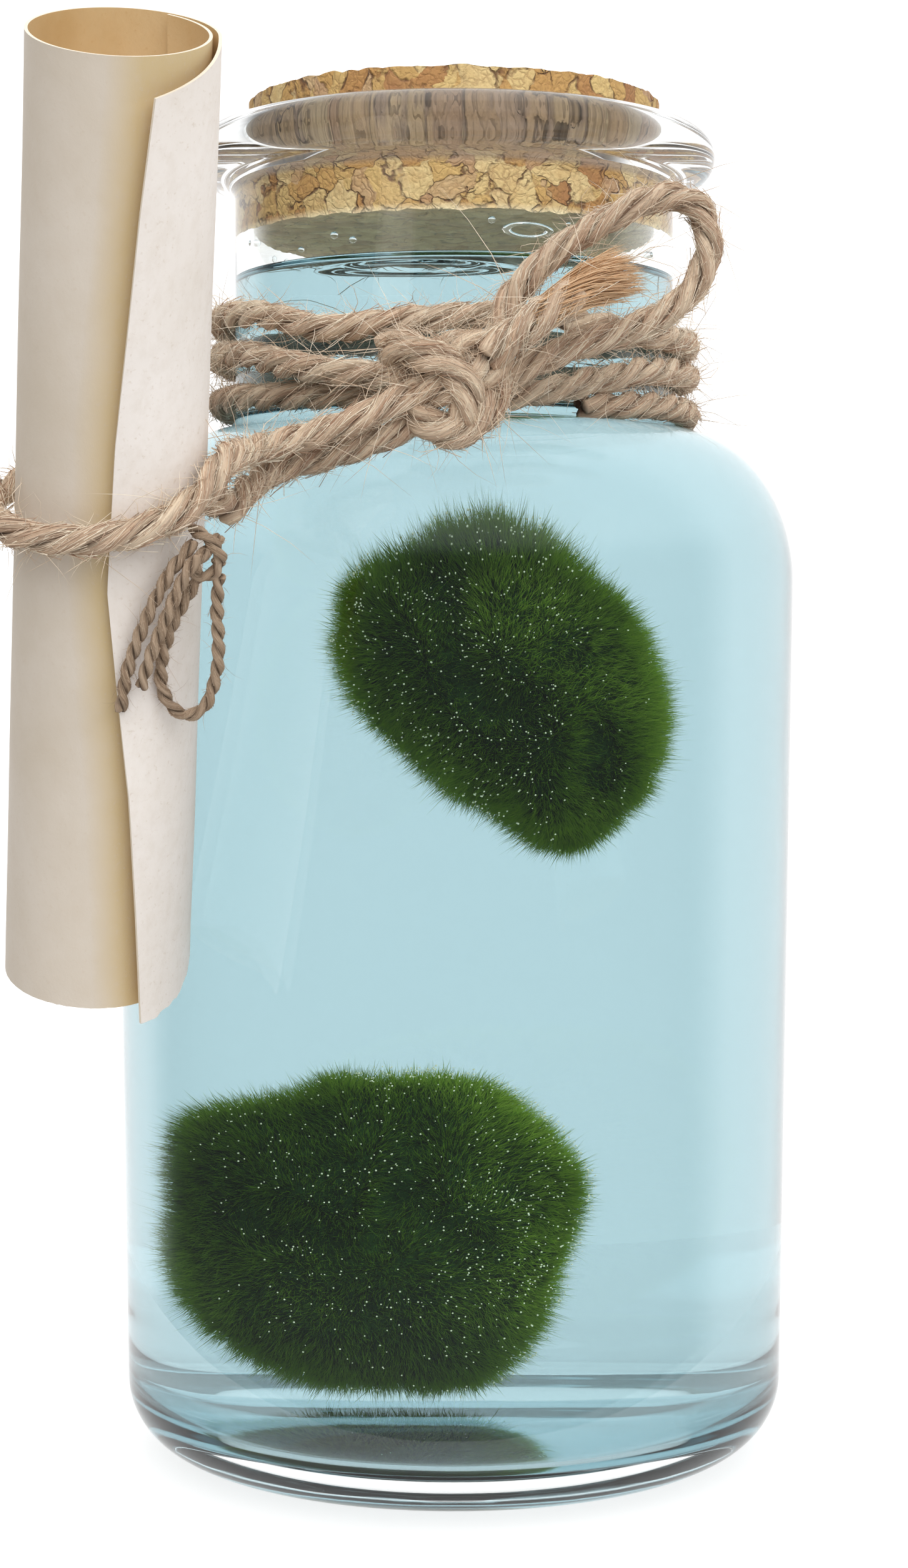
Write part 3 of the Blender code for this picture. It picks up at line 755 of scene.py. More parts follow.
jar = {
    "base": 0.0264, "heel": 0.0073, "bodyHigh": 0.0347,
    "shoulderFrom": 0.0885, "shoulder": 0.0155, "neck": 0.0224, "fillet": 0.0016,
    "lip": 0.0266, "lipTop": 0.1344, "lipMiddle": 0.1315, "crown": 0.0234, "underLip": 0.0024, "neckTop": 0.1273,
    "wall": 0.0024, "neckWall": 0.0019, "floor": 0.0046,
    "innerHeel": 0.0050, "innerShoulder": 0.0134, "innerCorner": 0.0020, "mouth": 0.0213, "mouthRound": 0.0011,
    "kickUp": 0.0018, "kickRadius": 0.0232,
    "steps": 160, "straightRun": 0.0025, "brace": 0.00012, "weld": 0.000004,
}
water = {"level": 0.1191, "overlap": 0.00007, "meniscus": 0.0005, "meniscusReach": 0.0014,
         "ripple": {"centre": (-0.0033, -0.0085), "radius": 0.0062, "width": 0.0011, "height": 0.00035}}


def hollowProfile(grow):
    # The jar's hollow from the middle of its floor up to its neck, let out all round by grow.
    floor = jar["floor"] - grow
    low = jar["base"] + jar["heel"] - jar["wall"] + grow
    high = jar["bodyHigh"] - jar["wall"] + grow
    neck = jar["neck"] - jar["neckWall"] + grow
    heel = jar["innerHeel"] + grow
    across, rise, corner = high - neck, jar["innerShoulder"] + grow, jar["innerCorner"] - grow
    cornerAngle = math.degrees(math.acos(corner / across))
    cornerFoot = jar["shoulderFrom"] + rise * math.sqrt(1 - (corner / across) ** 2)
    points = [(0, floor), (low * 0.45, floor)]
    points += arcPoints((low - heel, floor + heel), heel, heel, -90, 0, 20)
    points += [(low + (high - low) * k / 8, floor + heel + (jar["shoulderFrom"] - floor - heel) * k / 8)
               for k in range(1, 8)]
    points += arcPoints((neck, jar["shoulderFrom"]), across, rise, 0, cornerAngle - 3, 44)
    points += arcPoints((neck + corner, cornerFoot + corner), corner, corner, 268, 180, 9)
    return points


def outerProfile():
    # The jar's outside, from its crown down to the middle of its base.
    across = jar["bodyHigh"] - jar["neck"]
    shoulderAngle = math.degrees(math.acos(jar["fillet"] / across))
    filletFoot = jar["shoulderFrom"] + jar["shoulder"] * math.sqrt(1 - (jar["fillet"] / across) ** 2)
    lowRadius = jar["base"] + jar["heel"]
    points = arcPoints((jar["crown"], jar["lipMiddle"]), jar["lip"] - jar["crown"],
                       jar["lipTop"] - jar["lipMiddle"], 90, 0, 14)
    points += arcPoints((jar["lip"] - jar["underLip"], jar["lipMiddle"]), jar["underLip"],
                        jar["underLip"] + 0.0001, -12, -80, 8)
    points += arcPoints((jar["neck"] + jar["fillet"], jar["neckTop"]), jar["fillet"], jar["fillet"], 120, 180, 7)
    points += arcPoints((jar["neck"] + jar["fillet"], filletFoot + jar["fillet"]), jar["fillet"], jar["fillet"],
                        180, 268, 9)
    points += arcPoints((jar["neck"], jar["shoulderFrom"]), across, jar["shoulder"], shoulderAngle - 3, 0, 46)
    points += [(jar["bodyHigh"] + (lowRadius - jar["bodyHigh"]) * k / 8,
                jar["shoulderFrom"] + (jar["heel"] - jar["shoulderFrom"]) * k / 8) for k in range(1, 8)]
    points += arcPoints((jar["base"], jar["heel"]), jar["heel"], jar["heel"], 0, -90, 26)
    for part in np.linspace(1, 0, 14):
        points.append((jar["kickRadius"] * part, jar["kickUp"] * (1 - part ** 2) ** 2))
    return points


def braced(profile):
    # Adds a point close to both ends of each long straight run, so that the shading stays true along it.
    points = [profile[0]]
    for here, after in zip(profile, profile[1:]):
        run = math.dist(here, after)
        if run > jar["straightRun"]:
            for part in (jar["brace"] / run, 1 - jar["brace"] / run):
                points.append((here[0] + (after[0] - here[0]) * part, here[1] + (after[1] - here[1]) * part))
        points.append(after)
    return points


def turned(name, profile, steps):
    # Draws the profile point by point, then spins it round the jar's axis.
    piece = newPrimitive(name, bpy.ops.mesh.primitive_plane_add, size=0.001)
    startEdit(piece)
    bpy.ops.mesh.merge(type="CENTER")
    before = (0, 0)
    for k, point in enumerate(braced(profile)):
        move = (point[0] - before[0], 0, point[1] - before[1])
        if k == 0:
            bpy.ops.transform.translate(value=move)
        else:
            bpy.ops.mesh.extrude_vertices_move(TRANSFORM_OT_translate={"value": move})
        before = point
    bpy.ops.mesh.select_all(action="SELECT")
    bpy.ops.mesh.spin(steps=steps, angle=math.tau, center=(0, 0, 0), axis=(0, 0, 1))
    bpy.ops.mesh.select_all(action="SELECT")
    bpy.ops.mesh.remove_doubles(threshold=jar["weld"])
    bpy.ops.mesh.normals_make_consistent(inside=False)
    endEdit()
    pick(piece)
    bpy.ops.object.shade_smooth()
    return piece


def buildJar():
    inner = hollowProfile(0)
    mouth = [(jar["neck"] - jar["neckWall"], jar["neckTop"] + 0.0010)]
    mouth += arcPoints((jar["mouth"] + jar["mouthRound"], jar["lipTop"] - jar["mouthRound"]), jar["mouthRound"],
                       jar["mouthRound"], 180, 92, 7)
    piece = turned("glassJar", inner + mouth + outerProfile(), jar["steps"])
    print("glass jar built")
    return settle(piece, [clearGlass()], "clear_glass", "glass_jar")


def buildWater():
    wall = hollowProfile(water["overlap"])
    neck = wall[-1][0]
    top = [(neck, water["level"] + water["meniscus"])]
    for part in (k / 7 for k in range(1, 8)):
        top.append((neck - water["meniscusReach"] * part, water["level"] + water["meniscus"] * (1 - part) ** 3))
    top += [(neck * share, water["level"]) for share in np.linspace(0.9, 0, 28)]
    piece = turned("waterBody", wall + top, jar["steps"])
    # A ring of ripple where a bubble has just come up.
    ripple = water["ripple"]
    for point in piece.data.vertices:
        if point.co.z > water["level"] - 0.00001 and math.hypot(point.co.x, point.co.y) < neck * 0.91:
            gap = math.dist(point.co.xy, ripple["centre"]) - ripple["radius"]
            point.co.z += ripple["height"] * math.exp(-(gap / ripple["width"]) ** 2)
    print("water filled in")
    return settle(piece, [clearWater()], "water", "water_front", "water_back")


# ---- the cork

cork = {
    "bottom": 0.1231, "top": 0.1375, "radiusTop": 0.0209, "radiusLip": 0.0208,
    "spare": 0.0007, "bevel": 0.0007, "grain": 0.00026, "press": 0.00004,
    "pit": 0.00060, "pitSize": 0.0023, "lump": 0.00034, "lumpSize": 0.0026,
}


def bumpTexture(name, kind, size, **settings):
    texture = bpy.data.textures.new(name, kind)
    texture.noise_scale = size
    for key, value in settings.items():
        setattr(texture, key, value)
    return texture


def buildCork():
    # The cork is cut a little too wide, roughened, and then pressed against the glass round it.
    height = cork["top"] - cork["bottom"]
    piece = newPrimitive(
        "corkStopper", bpy.ops.mesh.primitive_cylinder_add, vertices=96, radius=jar["mouth"] + cork["spare"],
        depth=height, location=(0, 0, cork["bottom"] + height / 2))
    applyPlace(piece)
    useModifier(piece, "BEVEL", width=cork["bevel"], segments=2, angle_limit=math.radians(40))
    useModifier(piece, "REMESH", mode="VOXEL", voxel_size=cork["grain"])
    pits = bumpTexture("corkPits", "VORONOI", cork["pitSize"], weight_1=-1.0, weight_2=1.0)
    lumps = bumpTexture("corkLumps", "CLOUDS", cork["lumpSize"])
    useModifier(piece, "DISPLACE", texture=pits, texture_coords="LOCAL", strength=cork["pit"], mid_level=0.78)
    useModifier(piece, "DISPLACE", texture=lumps, texture_coords="LOCAL", strength=cork["lump"], mid_level=0.6)
    neck = jar["neck"] - jar["neckWall"]
    # It is tight in the neck, and just clear of the wider glass of the lip.
    limits = ((0.0, neck), (jar["neckTop"] + 0.0004, neck), (jar["neckTop"] + 0.0018, cork["radiusLip"]),
              (jar["lipTop"], cork["radiusLip"]), (cork["top"], cork["radiusTop"]), (1.0, cork["radiusTop"]))
    heights, widest = zip(*limits)
    for point in piece.data.vertices:
        most = float(np.interp(point.co.z, heights, widest)) + cork["press"]
        radius = math.hypot(point.co.x, point.co.y)
        if radius > most:
            point.co.x *= most / radius
            point.co.y *= most / radius
    pick(piece)
    bpy.ops.object.shade_smooth()
    settle(piece, [pressedCork()], "pressed_cork", "cork_stopper")
    print("cork pressed in")


# ---- the moss balls

# Each outline is 36 radii in millimetres, 10 degrees apart from +X, seen from the front. A fold is a line of
# places across and up from the ball's middle, with its depth and width, all in millimetres too.
moss = {
    "marimo_upper": {
        "seed": 11, "beads": 1500, "beadSide": (-0.75, -0.5, 0.35), "centre": (0.0036, 0.0, 0.0771), "depth": 0.0128,
        "outline": (13.5, 13.4, 13.3, 13.7, 14.1, 14.4, 14.7, 15.4, 16.1, 16.5, 16.6, 16.4, 16.5, 17.1, 17.0, 15.6,
                    14.5, 13.2, 12.3, 11.6, 10.8, 10.3, 10.2, 10.3, 10.7, 11.4, 11.9, 13.4, 16.1, 17.5, 17.2, 16.4,
                    15.9, 15.1, 14.5, 13.9),
        "folds": ((((-4.9, 11.0), (-4.2, 6.0), (-3.6, 2.5), (-1.0, -1.0), (1.8, -1.6)), 2.0, 1.7),
                  (((8.6, -4.0), (8.2, -8.2)), 1.0, 1.2)),
    },
    "marimo_lower": {
        "seed": 23, "beads": 1500, "beadSide": (0.65, -0.5, 0.45), "centre": (-0.0066, 0.0050, 0.0225),
        "depth": 0.0148,
        "outline": (16.8, 17.6, 18.2, 18.1, 18.2, 18.5, 18.7, 17.9, 17.0, 16.5, 16.8, 15.9, 16.2, 17.3, 17.9, 17.5,
                    16.4, 15.6, 15.6, 15.9, 16.3, 16.7, 16.7, 16.9, 17.0, 17.2, 17.3, 17.2, 17.5, 18.5, 19.0, 18.6,
                    17.8, 17.0, 16.4, 16.3),
        "folds": ((((3.2, 11.0), (3.0, 7.0), (2.6, 5.0), (0.5, 1.5), (-3.0, 0.5), (-7.0, 1.3), (-10.0, 2.2)),
                   1.8, 1.8),
                  (((2.6, 5.0), (5.5, 2.0), (8.8, 0.0)), 1.3, 1.5)),
    },
}
filament = {
    "rootDepth": 0.0021, "coreDepth": 0.0019, "short": 0.0004, "proud": 0.0007, "proudShare": 0.30,
    "coats": ({"count": 12500, "rings": 3, "rootWidth": 0.00009},
              {"count": 37000, "rings": 2, "rootWidth": 0.000065}),
    "lump": 0.055, "lumpScale": 2.3, "ripple": 0.022, "rippleScale": 7.5,
    "swirl": 0.42, "swirlScale": 330, "stray": 0.20, "bend": 0.30, "bendScale": 120, "bendStray": 0.16,
    "widths": (0.7, 1.3), "thinning": 0.66, "offFloor": 0.00005,
    # How the filaments darken: least and clouds give random dark mottle, while the darkening where they face front or
    # back and in the folds is painted shade.
    "darkMottleAndPaintedShade": {"least": 0.10, "clouds": 1.1, "cloudScale": 95, "facing": 0.85, "foldShadeStrength": 0.9, "foldWidth": 1.3},
}
airBeads = {"drawn": 4, "least": 0.05, "even": 0.32, "sided": 0.75, "clumpScale": 210, "clumps": 1.6, "between": 0.5,
            "kept": 0.55, "sunk": (0.0, 0.0007), "radii": (0.00005, 0.00010)}


def mossSurface(name, settings, detail, inwards=0.0):
    # The lumpy form that the filaments' tips reach, or one that lies a little way inside it.
    ball = newPrimitive(name, bpy.ops.mesh.primitive_ico_sphere_add, subdivisions=detail, radius=1.0)
    count = len(ball.data.vertices)
    way = np.zeros(count * 3)
    ball.data.vertices.foreach_get("co", way)
    way = way.reshape(-1, 3)
    radii = np.array(settings["outline"]) * 0.001
    turns = (np.degrees(np.arctan2(way[:, 2], way[:, 0])) % 360) / 10
    first, part = np.floor(turns).astype(int), turns % 1
    before, here, after, beyond = (radii[(first + k) % 36] for k in (-1, 0, 1, 2))
    reach = curveThrough(before, here, after, beyond, part)
    facing = np.abs(way[:, 1])
    lump = 1 + filament["lump"] * noiseAt(way, filament["lumpScale"], Vector((settings["seed"], 0, 0))) * facing
    lump += filament["ripple"] * noiseAt(way, filament["rippleScale"], Vector((0, settings["seed"], 0)))
    place = np.column_stack([way[:, 0] * reach, way[:, 1] * settings["depth"], way[:, 2] * reach]) * lump[:, None]
    for line, depth, width in settings["folds"]:
        gap = foldGap(place[:, [0, 2]] * 1000, np.array(line))
        inwardsBy = depth * 0.001 * bell(gap, width) * np.clip(-way[:, 1] * 2.5, 0, 1)
        place -= way * inwardsBy[:, None]
    place += np.array(settings["centre"])
    ball.data.vertices.foreach_set("co", place.ravel())
    ball.data.update()
    if inwards:
        startEdit(ball)
        bpy.ops.transform.shrink_fatten(value=-inwards)
        endEdit()
    pick(ball)
    bpy.ops.object.shade_smooth()
    return ball


def foldGap(places, line):
    # The distance from each place to the nearest part of a line.
    gaps = []
    for a, b in zip(line, line[1:]):
        along = np.clip(((places - a) @ (b - a)) / ((b - a) @ (b - a)), 0, 1)
        gaps.append(np.linalg.norm(places - a - along[:, None] * (b - a), axis=1))
    return np.min(gaps, axis=0)


def scatterOn(piece, count, rng):
    # Random places on a mesh's surface, with its normals there.
    mesh = piece.data
    mesh.calc_loop_triangles()
    corners = np.zeros(len(mesh.loop_triangles) * 3, np.int32)
    mesh.loop_triangles.foreach_get("vertices", corners)
    places = np.zeros(len(mesh.vertices) * 3)
    mesh.vertices.foreach_get("co", places)
    normals = np.zeros(len(mesh.vertices) * 3)
    mesh.vertices.foreach_get("normal", normals)
    corners, places, normals = corners.reshape(-1, 3), places.reshape(-1, 3), normals.reshape(-1, 3)
    a, b, c = (places[corners[:, k]] for k in range(3))
    area = np.linalg.norm(np.cross(b - a, c - a), axis=1)
    chosen = rng.choice(len(corners), count, p=area / area.sum())
    u, v = rng.random(count), rng.random(count)
    over = u + v > 1
    u[over], v[over] = 1 - u[over], 1 - v[over]
    share = np.stack([1 - u - v, u, v], axis=1)[:, :, None]
    place = (places[corners[chosen]] * share).sum(axis=1)
    normal = (normals[corners[chosen]] * share).sum(axis=1)
    return place, normal / np.linalg.norm(normal, axis=1)[:, None]


def noiseAt(places, scale, shift):
    return np.array([noise.noise(Vector(p) * scale + shift) for p in places])


def noiseWay(places, scale, shift):
    return np.array([noise.noise_vector(Vector(p) * scale + shift) for p in places])


def buildMoss(node):
    settings = moss[node]
    rng = np.random.default_rng(settings["seed"])
    title = node.replace("marimo_", "marimo").replace("upper", "Upper").replace("lower", "Lower")
    core = mossSurface(title, settings, 6, filament["coreDepth"])
    settle(core, [mossCore()], "moss", node)

    tips = mossSurface(title + "Tips", settings, 5)
    shift = Vector((settings["seed"], 3.7, 1.9))
    fibre = mossFibre()
    for k, coat in enumerate(filament["coats"]):
        end, normal = scatterOn(tips, coat["count"], rng)
        count = len(end)
        root = end - normal * filament["rootDepth"]
        swirl = noiseWay(root, filament["swirlScale"], shift)
        lay = noiseWay(root, filament["bendScale"], shift * 2)
        way = normal + filament["swirl"] * swirl + rng.normal(0, filament["stray"], (count, 3))
        way /= np.linalg.norm(way, axis=1)[:, None]
        length = filament["rootDepth"] - filament["short"] * rng.random(count)
        proud = rng.random(count) < filament["proudShare"]
        length[proud] += filament["proud"] * (0.3 + rng.random(proud.sum()))
        t = np.linspace(0, 1, coat["rings"])
        bend = filament["bend"] * lay + rng.normal(0, filament["bendStray"], (count, 3))
        spines = (root[:, None] + way[:, None] * (length[:, None] * t)[:, :, None]
                  + bend[:, None] * (length[:, None] * t ** 2)[:, :, None])
        spines[:, :, 2] = np.maximum(spines[:, :, 2], jar["floor"] + filament["offFloor"])
        widths = ((coat["rootWidth"] * rng.uniform(*filament["widths"], count))[:, None]
                  * (1 - filament["thinning"] * t)[None])
        # The filaments are darker in random clouds. Darker where they face front or back, and in the folds, is
        # painted shade, which leaves the sides brighter as painted light on the rims.
        darkMottleAndPaintedShade = filament["darkMottleAndPaintedShade"]
        paintedFoldShade = np.zeros(count)
        for line, depth, width in settings["folds"]:
            gap = foldGap((root - np.array(settings["centre"]))[:, [0, 2]] * 1000, np.array(line))
            paintedFoldShade = np.maximum(paintedFoldShade, depth / 2 * bell(gap / width, darkMottleAndPaintedShade["foldWidth"]) * (normal[:, 1] < 0))
        clouds = darkMottleAndPaintedShade["clouds"] * noiseAt(root, darkMottleAndPaintedShade["cloudScale"], shift)
        mottleAndShadeAmount = np.clip(darkMottleAndPaintedShade["least"] + clouds + darkMottleAndPaintedShade["facing"] * np.abs(normal[:, 1]) + darkMottleAndPaintedShade["foldShadeStrength"] * paintedFoldShade, 0, 1)
        fur = fibreMesh(title + "Fur%d" % (k + 1), spines, widths, np.stack([rng.random(count), mottleAndShadeAmount], axis=1))
        settle(fur, [fibre], "moss", node)
    print(title, "grown")
    addBeads(title, settings, tips, rng)
    bpy.data.objects.remove(tips)


def addBeads(title, settings, tips, rng):
    # Tiny beads of air held by the filaments' tips, thicker on one side.
    place, normal = scatterOn(tips, settings["beads"] * airBeads["drawn"], rng)
    side = Vector(settings["beadSide"]).normalized()
    sided = np.clip(airBeads["even"] + airBeads["sided"] * (normal @ np.array(side)), airBeads["least"], 1)
    clumps = np.clip(noiseAt(place, airBeads["clumpScale"], Vector((5, 5, 5))) + 0.2, 0, 1)
    favour = sided * (airBeads["between"] + airBeads["clumps"] * clumps)
    chosen = rng.random(len(place)) < favour * airBeads["kept"]
    place, normal = place[chosen], normal[chosen]
    sunk = rng.uniform(*airBeads["sunk"], len(place))
    radii = rng.uniform(*airBeads["radii"], len(place))
    scatterBeads(title + "Beads", place - normal * sunk[:, None], radii, paintedGlowBead(), "moss")


def scatterBeads(name, centres, radii, finish, slot, detail=1):
    bead = newPrimitive("beadPattern", bpy.ops.mesh.primitive_ico_sphere_add, subdivisions=detail, radius=1.0)
    shape = np.array([point.co[:] for point in bead.data.vertices])
    facets = np.array([face.vertices[:] for face in bead.data.polygons])
    bpy.data.objects.remove(bead)
    points = (centres[:, None] + shape[None] * radii[:, None, None]).reshape(-1, 3)
    faces = (facets[None] + (np.arange(len(centres)) * len(shape))[:, None, None]).reshape(-1, 3)
    return settle(meshOf(name, points, faces.tolist()), [finish], slot)


# ---- the drops that cling to the neck's inside under the cork

drops = {"count": 26, "heights": (0.1198, 0.1229), "radii": (0.00022, 0.00042), "offWall": 0.0002, "seed": 41,
         "ring": {"turn": 19.7, "height": 0.1217, "radius": 0.0021, "thick": 0.00045, "flat": (1, 0.30, 0.6)}}


def buildDrops():
    rng = np.random.default_rng(drops["seed"])
    wall = jar["neck"] - jar["neckWall"] - drops["offWall"]
    angle = np.radians(rng.uniform(-180, 180, drops["count"]))
    height = rng.uniform(*drops["heights"], drops["count"])
    centres = np.column_stack([wall * np.cos(angle), wall * np.sin(angle), height])
    wet = clearDrop()
    scatterBeads("neckDrops", centres, rng.uniform(*drops["radii"], drops["count"]), wet, "water", detail=3)
    bubble = drops["ring"]
    turn = math.radians(bubble["turn"])
    piece = newPrimitive(
        "ringDrop", bpy.ops.mesh.primitive_torus_add, major_segments=64, minor_segments=16,
        major_radius=bubble["radius"], minor_radius=bubble["thick"],
        location=(wall * math.sin(turn), -wall * math.cos(turn), bubble["height"]),
        rotation=(math.radians(90), 0, turn))
    piece.scale = bubble["flat"]
    applyPlace(piece)
    bpy.ops.object.shade_smooth()
    settle(piece, [wet], "water")
    print("drops hung")


# ---- the jute twine

twine = {"thickness": 0.0027, "strands": 3, "lay": 0.0115, "apart": 0.252, "strandRadius": 0.247,
         "sides": 16, "ridge": 0.03, "yarns": 5, "step": 0.0004,
         "fibreRings": 5, "fibreLength": 0.0062, "fibreWidth": 0.000075, "fibreLoose": 0.00022, "fibres": 16000,
         "hairs": 11000, "snug": 0.00005}
thinTwine = {"thickness": 0.0012, "strands": 2, "lay": 0.0034, "apart": 0.215, "strandRadius": 0.285,
             "sides": 9, "ridge": 0.03, "yarns": 3, "step": 0.00022,
             "fibreRings": 5, "fibreLength": 0.0028, "fibreWidth": 0.00004, "fibreLoose": 0.00005, "fibres": 16000,
             "hairs": 6000}
twineHair = {"short": 0.0007, "spread": 0.0019, "long": 0.0075, "longShare": 0.10, "rings": 4, "width": 0.000065}
tieHair = {"short": 0.0004, "spread": 0.0008, "long": 0.002, "longShare": 0.04, "rings": 4, "width": 0.00003}
# Fibres and hairs are counted for each metre of rope.
knot = {"thickness": 0.0033, "fibres": 26000, "hairs": 24000}
tail = {"thickness": 0.0034, "fibres": 26000, "hairs": 20000, "laid": 0.62}
brush = {"fibres": 760, "rings": 7, "starts": (0.30, 0.58), "ends": (0.80, 1.04), "rounding": 0.06,
         "turn": 0.9, "turnStray": 0.25, "radius": 0.0015, "flare": 0.0010, "stray": 0.0003, "width": 0.00011}

# Each winding's stations: degrees from +X (-90 is the front), height, and how far it is lifted off the neck.
windings = {
    "neckTwineUpper": (
        (-74, 0.1131, 0.0), (-84, 0.1131, 0.0), (-97, 0.1128, 0.0002), (-107, 0.1124, 0.0004), (-117, 0.1121, 0.0004),
        (-125, 0.1124, 0.0003), (-134, 0.1136, 0.0), (-145, 0.1145, 0.0), (-160, 0.1149, 0.0), (-180, 0.1150, 0.0),
        (-270, 0.1144, 0.0), (-360, 0.1126, 0.0), (-392, 0.1123, 0.0), (-425, 0.1128, 0.0),
    ),
    "neckTwineMiddle": (
        (-95, 0.1069, 0.0026), (-104.5, 0.1073, 0.0028), (-112, 0.1076, 0.0027), (-120, 0.1081, 0.0024),
        (-128, 0.1088, 0.0017), (-137, 0.1097, 0.0006), (-150, 0.1107, 0.0), (-165, 0.1112, 0.0),
        (-180, 0.1113, 0.0), (-270, 0.1108, 0.0),
        (-360, 0.1094, 0.0), (-385, 0.1092, 0.0), (-400, 0.1087, 0.0003), (-415, 0.1075, 0.0006),
        (-425, 0.1065, 0.0012), (-430, 0.1060, 0.0018), (-440, 0.1052, 0.0026),
    ),
    "neckTwineLower": (
        (-60, 0.1047, 0.0004), (-50, 0.1051, 0.0002), (-40, 0.1055, 0.0), (-25, 0.1056, 0.0), (90, 0.1057, 0.0),
        (180, 0.1067, 0.0), (205, 0.1066, 0.0), (222, 0.1062, 0.0), (240, 0.1059, 0.0), (256, 0.1057, 0.0),
        (264, 0.1055, 0.0008),
    ),
}
bowRoute = (
    (0.0038, -0.0306, 0.1097), (0.0054, -0.0303, 0.1140), (0.0076, -0.0302, 0.1166), (0.0101, -0.0299, 0.1187),
    (0.0150, -0.0291, 0.1218), (0.0181, -0.0283, 0.1232), (0.0206, -0.0275, 0.1237), (0.0226, -0.0268, 0.1229),
    (0.0236, -0.0264, 0.1211), (0.0238, -0.0262, 0.1189), (0.0228, -0.0262, 0.1160), (0.0202, -0.0266, 0.1133),
    (0.0152, -0.0276, 0.1109), (0.0108, -0.0288, 0.1095), (0.0070, -0.0302, 0.1078), (0.0047, -0.0310, 0.1062),
)
tailRoute = (
    (0.0030, -0.0345, 0.1082), (0.0060, -0.0344, 0.1104), (0.0097, -0.0340, 0.1130), (0.0129, -0.0336, 0.1149),
    (0.0158, -0.0330, 0.1159), (0.0174, -0.0326, 0.1162),
)
leadRoute = (
    (-0.0026, -0.0322, 0.1054), (-0.0044, -0.0334, 0.1046),
    (-0.0062, -0.0340, 0.1038), (-0.0084, -0.0344, 0.1026), (-0.0114, -0.0342, 0.1015), (-0.0146, -0.0346, 0.1006),
    (-0.0170, -0.0366, 0.0999), (-0.0183, -0.0402, 0.0990), (-0.0189, -0.0446, 0.0986),
)
returnRoute = (
    (-0.0192, -0.0400, 0.0950), (-0.0183, -0.0368, 0.0963), (-0.0170, -0.0340, 0.0975), (-0.0148, -0.0323, 0.0985),
    (-0.0115, -0.0318, 0.0994), (-0.0085, -0.0320, 0.1003), (-0.0066, -0.0320, 0.1010), (-0.0044, -0.0317, 0.1019),
    (-0.0024, -0.0312, 0.1030),
)
knotRoutes = {
    "knotOver": (
        (-0.0062, -0.0318, 0.1092), (-0.0046, -0.0336, 0.1090), (-0.0026, -0.0347, 0.1083),
        (-0.0006, -0.0351, 0.1073), (0.0009, -0.0349, 0.1057), (0.0013, -0.0344, 0.1039), (0.0008, -0.0335, 0.1023),
    ),
    "knotUnder": (
        (0.0038, -0.0318, 0.1076), (0.0037, -0.0327, 0.1052), (0.0027, -0.0334, 0.1031), (0.0008, -0.0337, 0.1016),
        (-0.0014, -0.0335, 0.1016), (-0.0030, -0.0328, 0.1029), (-0.0036, -0.0320, 0.1048),
    ),
    "knotMiddle": (
        (-0.0046, -0.0320, 0.1046), (-0.0026, -0.0334, 0.1050), (0.0000, -0.0340, 0.1056), (0.0024, -0.0338, 0.1066),
        (0.0044, -0.0326, 0.1080),
    ),
    "knotBehind": (
        (-0.0048, -0.0310, 0.1056), (-0.0022, -0.0317, 0.1078), (0.0010, -0.0321, 0.1094), (0.0036, -0.0318, 0.1090),
    ),
}
tieRoutes = {
    "tieLoop": (
        (-0.0217, -0.0514, 0.0878), (-0.0224, -0.0511, 0.0866), (-0.0235, -0.0505, 0.0848),
        (-0.0244, -0.0497, 0.0830), (-0.0251, -0.0487, 0.0808), (-0.0253, -0.0477, 0.0787),
        (-0.0248, -0.0469, 0.0770), (-0.0238, -0.0464, 0.0760), (-0.0227, -0.0462, 0.0759),
        (-0.0216, -0.0463, 0.0767), (-0.0209, -0.0469, 0.0783), (-0.0204, -0.0477, 0.0804),
        (-0.0203, -0.0486, 0.0826), (-0.0203, -0.0494, 0.0845), (-0.0202, -0.0502, 0.0863),
        (-0.0200, -0.0509, 0.0878),
    ),
    "tieTailLeft": (
        (-0.0220, -0.0526, 0.0906), (-0.0227, -0.0529, 0.0897), (-0.0240, -0.0528, 0.0880),
        (-0.0256, -0.0521, 0.0852), (-0.0270, -0.0511, 0.0822), (-0.0281, -0.0499, 0.0792),
        (-0.0287, -0.0487, 0.0763),
    ),
    "tieTailRight": (
        (-0.0217, -0.0530, 0.0894), (-0.0225, -0.0532, 0.0881), (-0.0235, -0.0527, 0.0862),
        (-0.0248, -0.0518, 0.0834), (-0.0260, -0.0508, 0.0807), (-0.0268, -0.0498, 0.0783),
    ),
    "tieKnotOver": (
        (-0.0222, -0.0520, 0.0916), (-0.0212, -0.0529, 0.0912), (-0.0202, -0.0528, 0.0903),
        (-0.0198, -0.0520, 0.0893), (-0.0203, -0.0510, 0.0888),
    ),
    "tieKnotUnder": (
        (-0.0199, -0.0515, 0.0911), (-0.0209, -0.0524, 0.0899), (-0.0219, -0.0526, 0.0887),
        (-0.0217, -0.0517, 0.0878), (-0.0205, -0.0511, 0.0880), (-0.0198, -0.0516, 0.0890),
    ),
}
ring = {"start": 78, "end": -255, "lowestAt": -84, "lowest": 0.0447, "rise": 0.0061, "points": 16, "gap": 0.00045}


def windingLine(stations):
    first, last = stations[0][0], stations[-1][0]
    sign = 1 if last > first else -1
    heights = [(sign * (degrees - first), height) for degrees, height, lift in stations]
    lifts = [(sign * (degrees - first), lift) for degrees, height, lift in stations]
    line = []
    for turn in np.arange(0, abs(last - first), 2.0):
        angle = math.radians(first + sign * turn)
        radius = jar["neck"] + twine["thickness"] / 2 + twine["snug"] + eased(lifts, turn)
        line.append((radius * math.cos(angle), radius * math.sin(angle), eased(heights, turn)))
    return smoothLine(line, twine["step"])


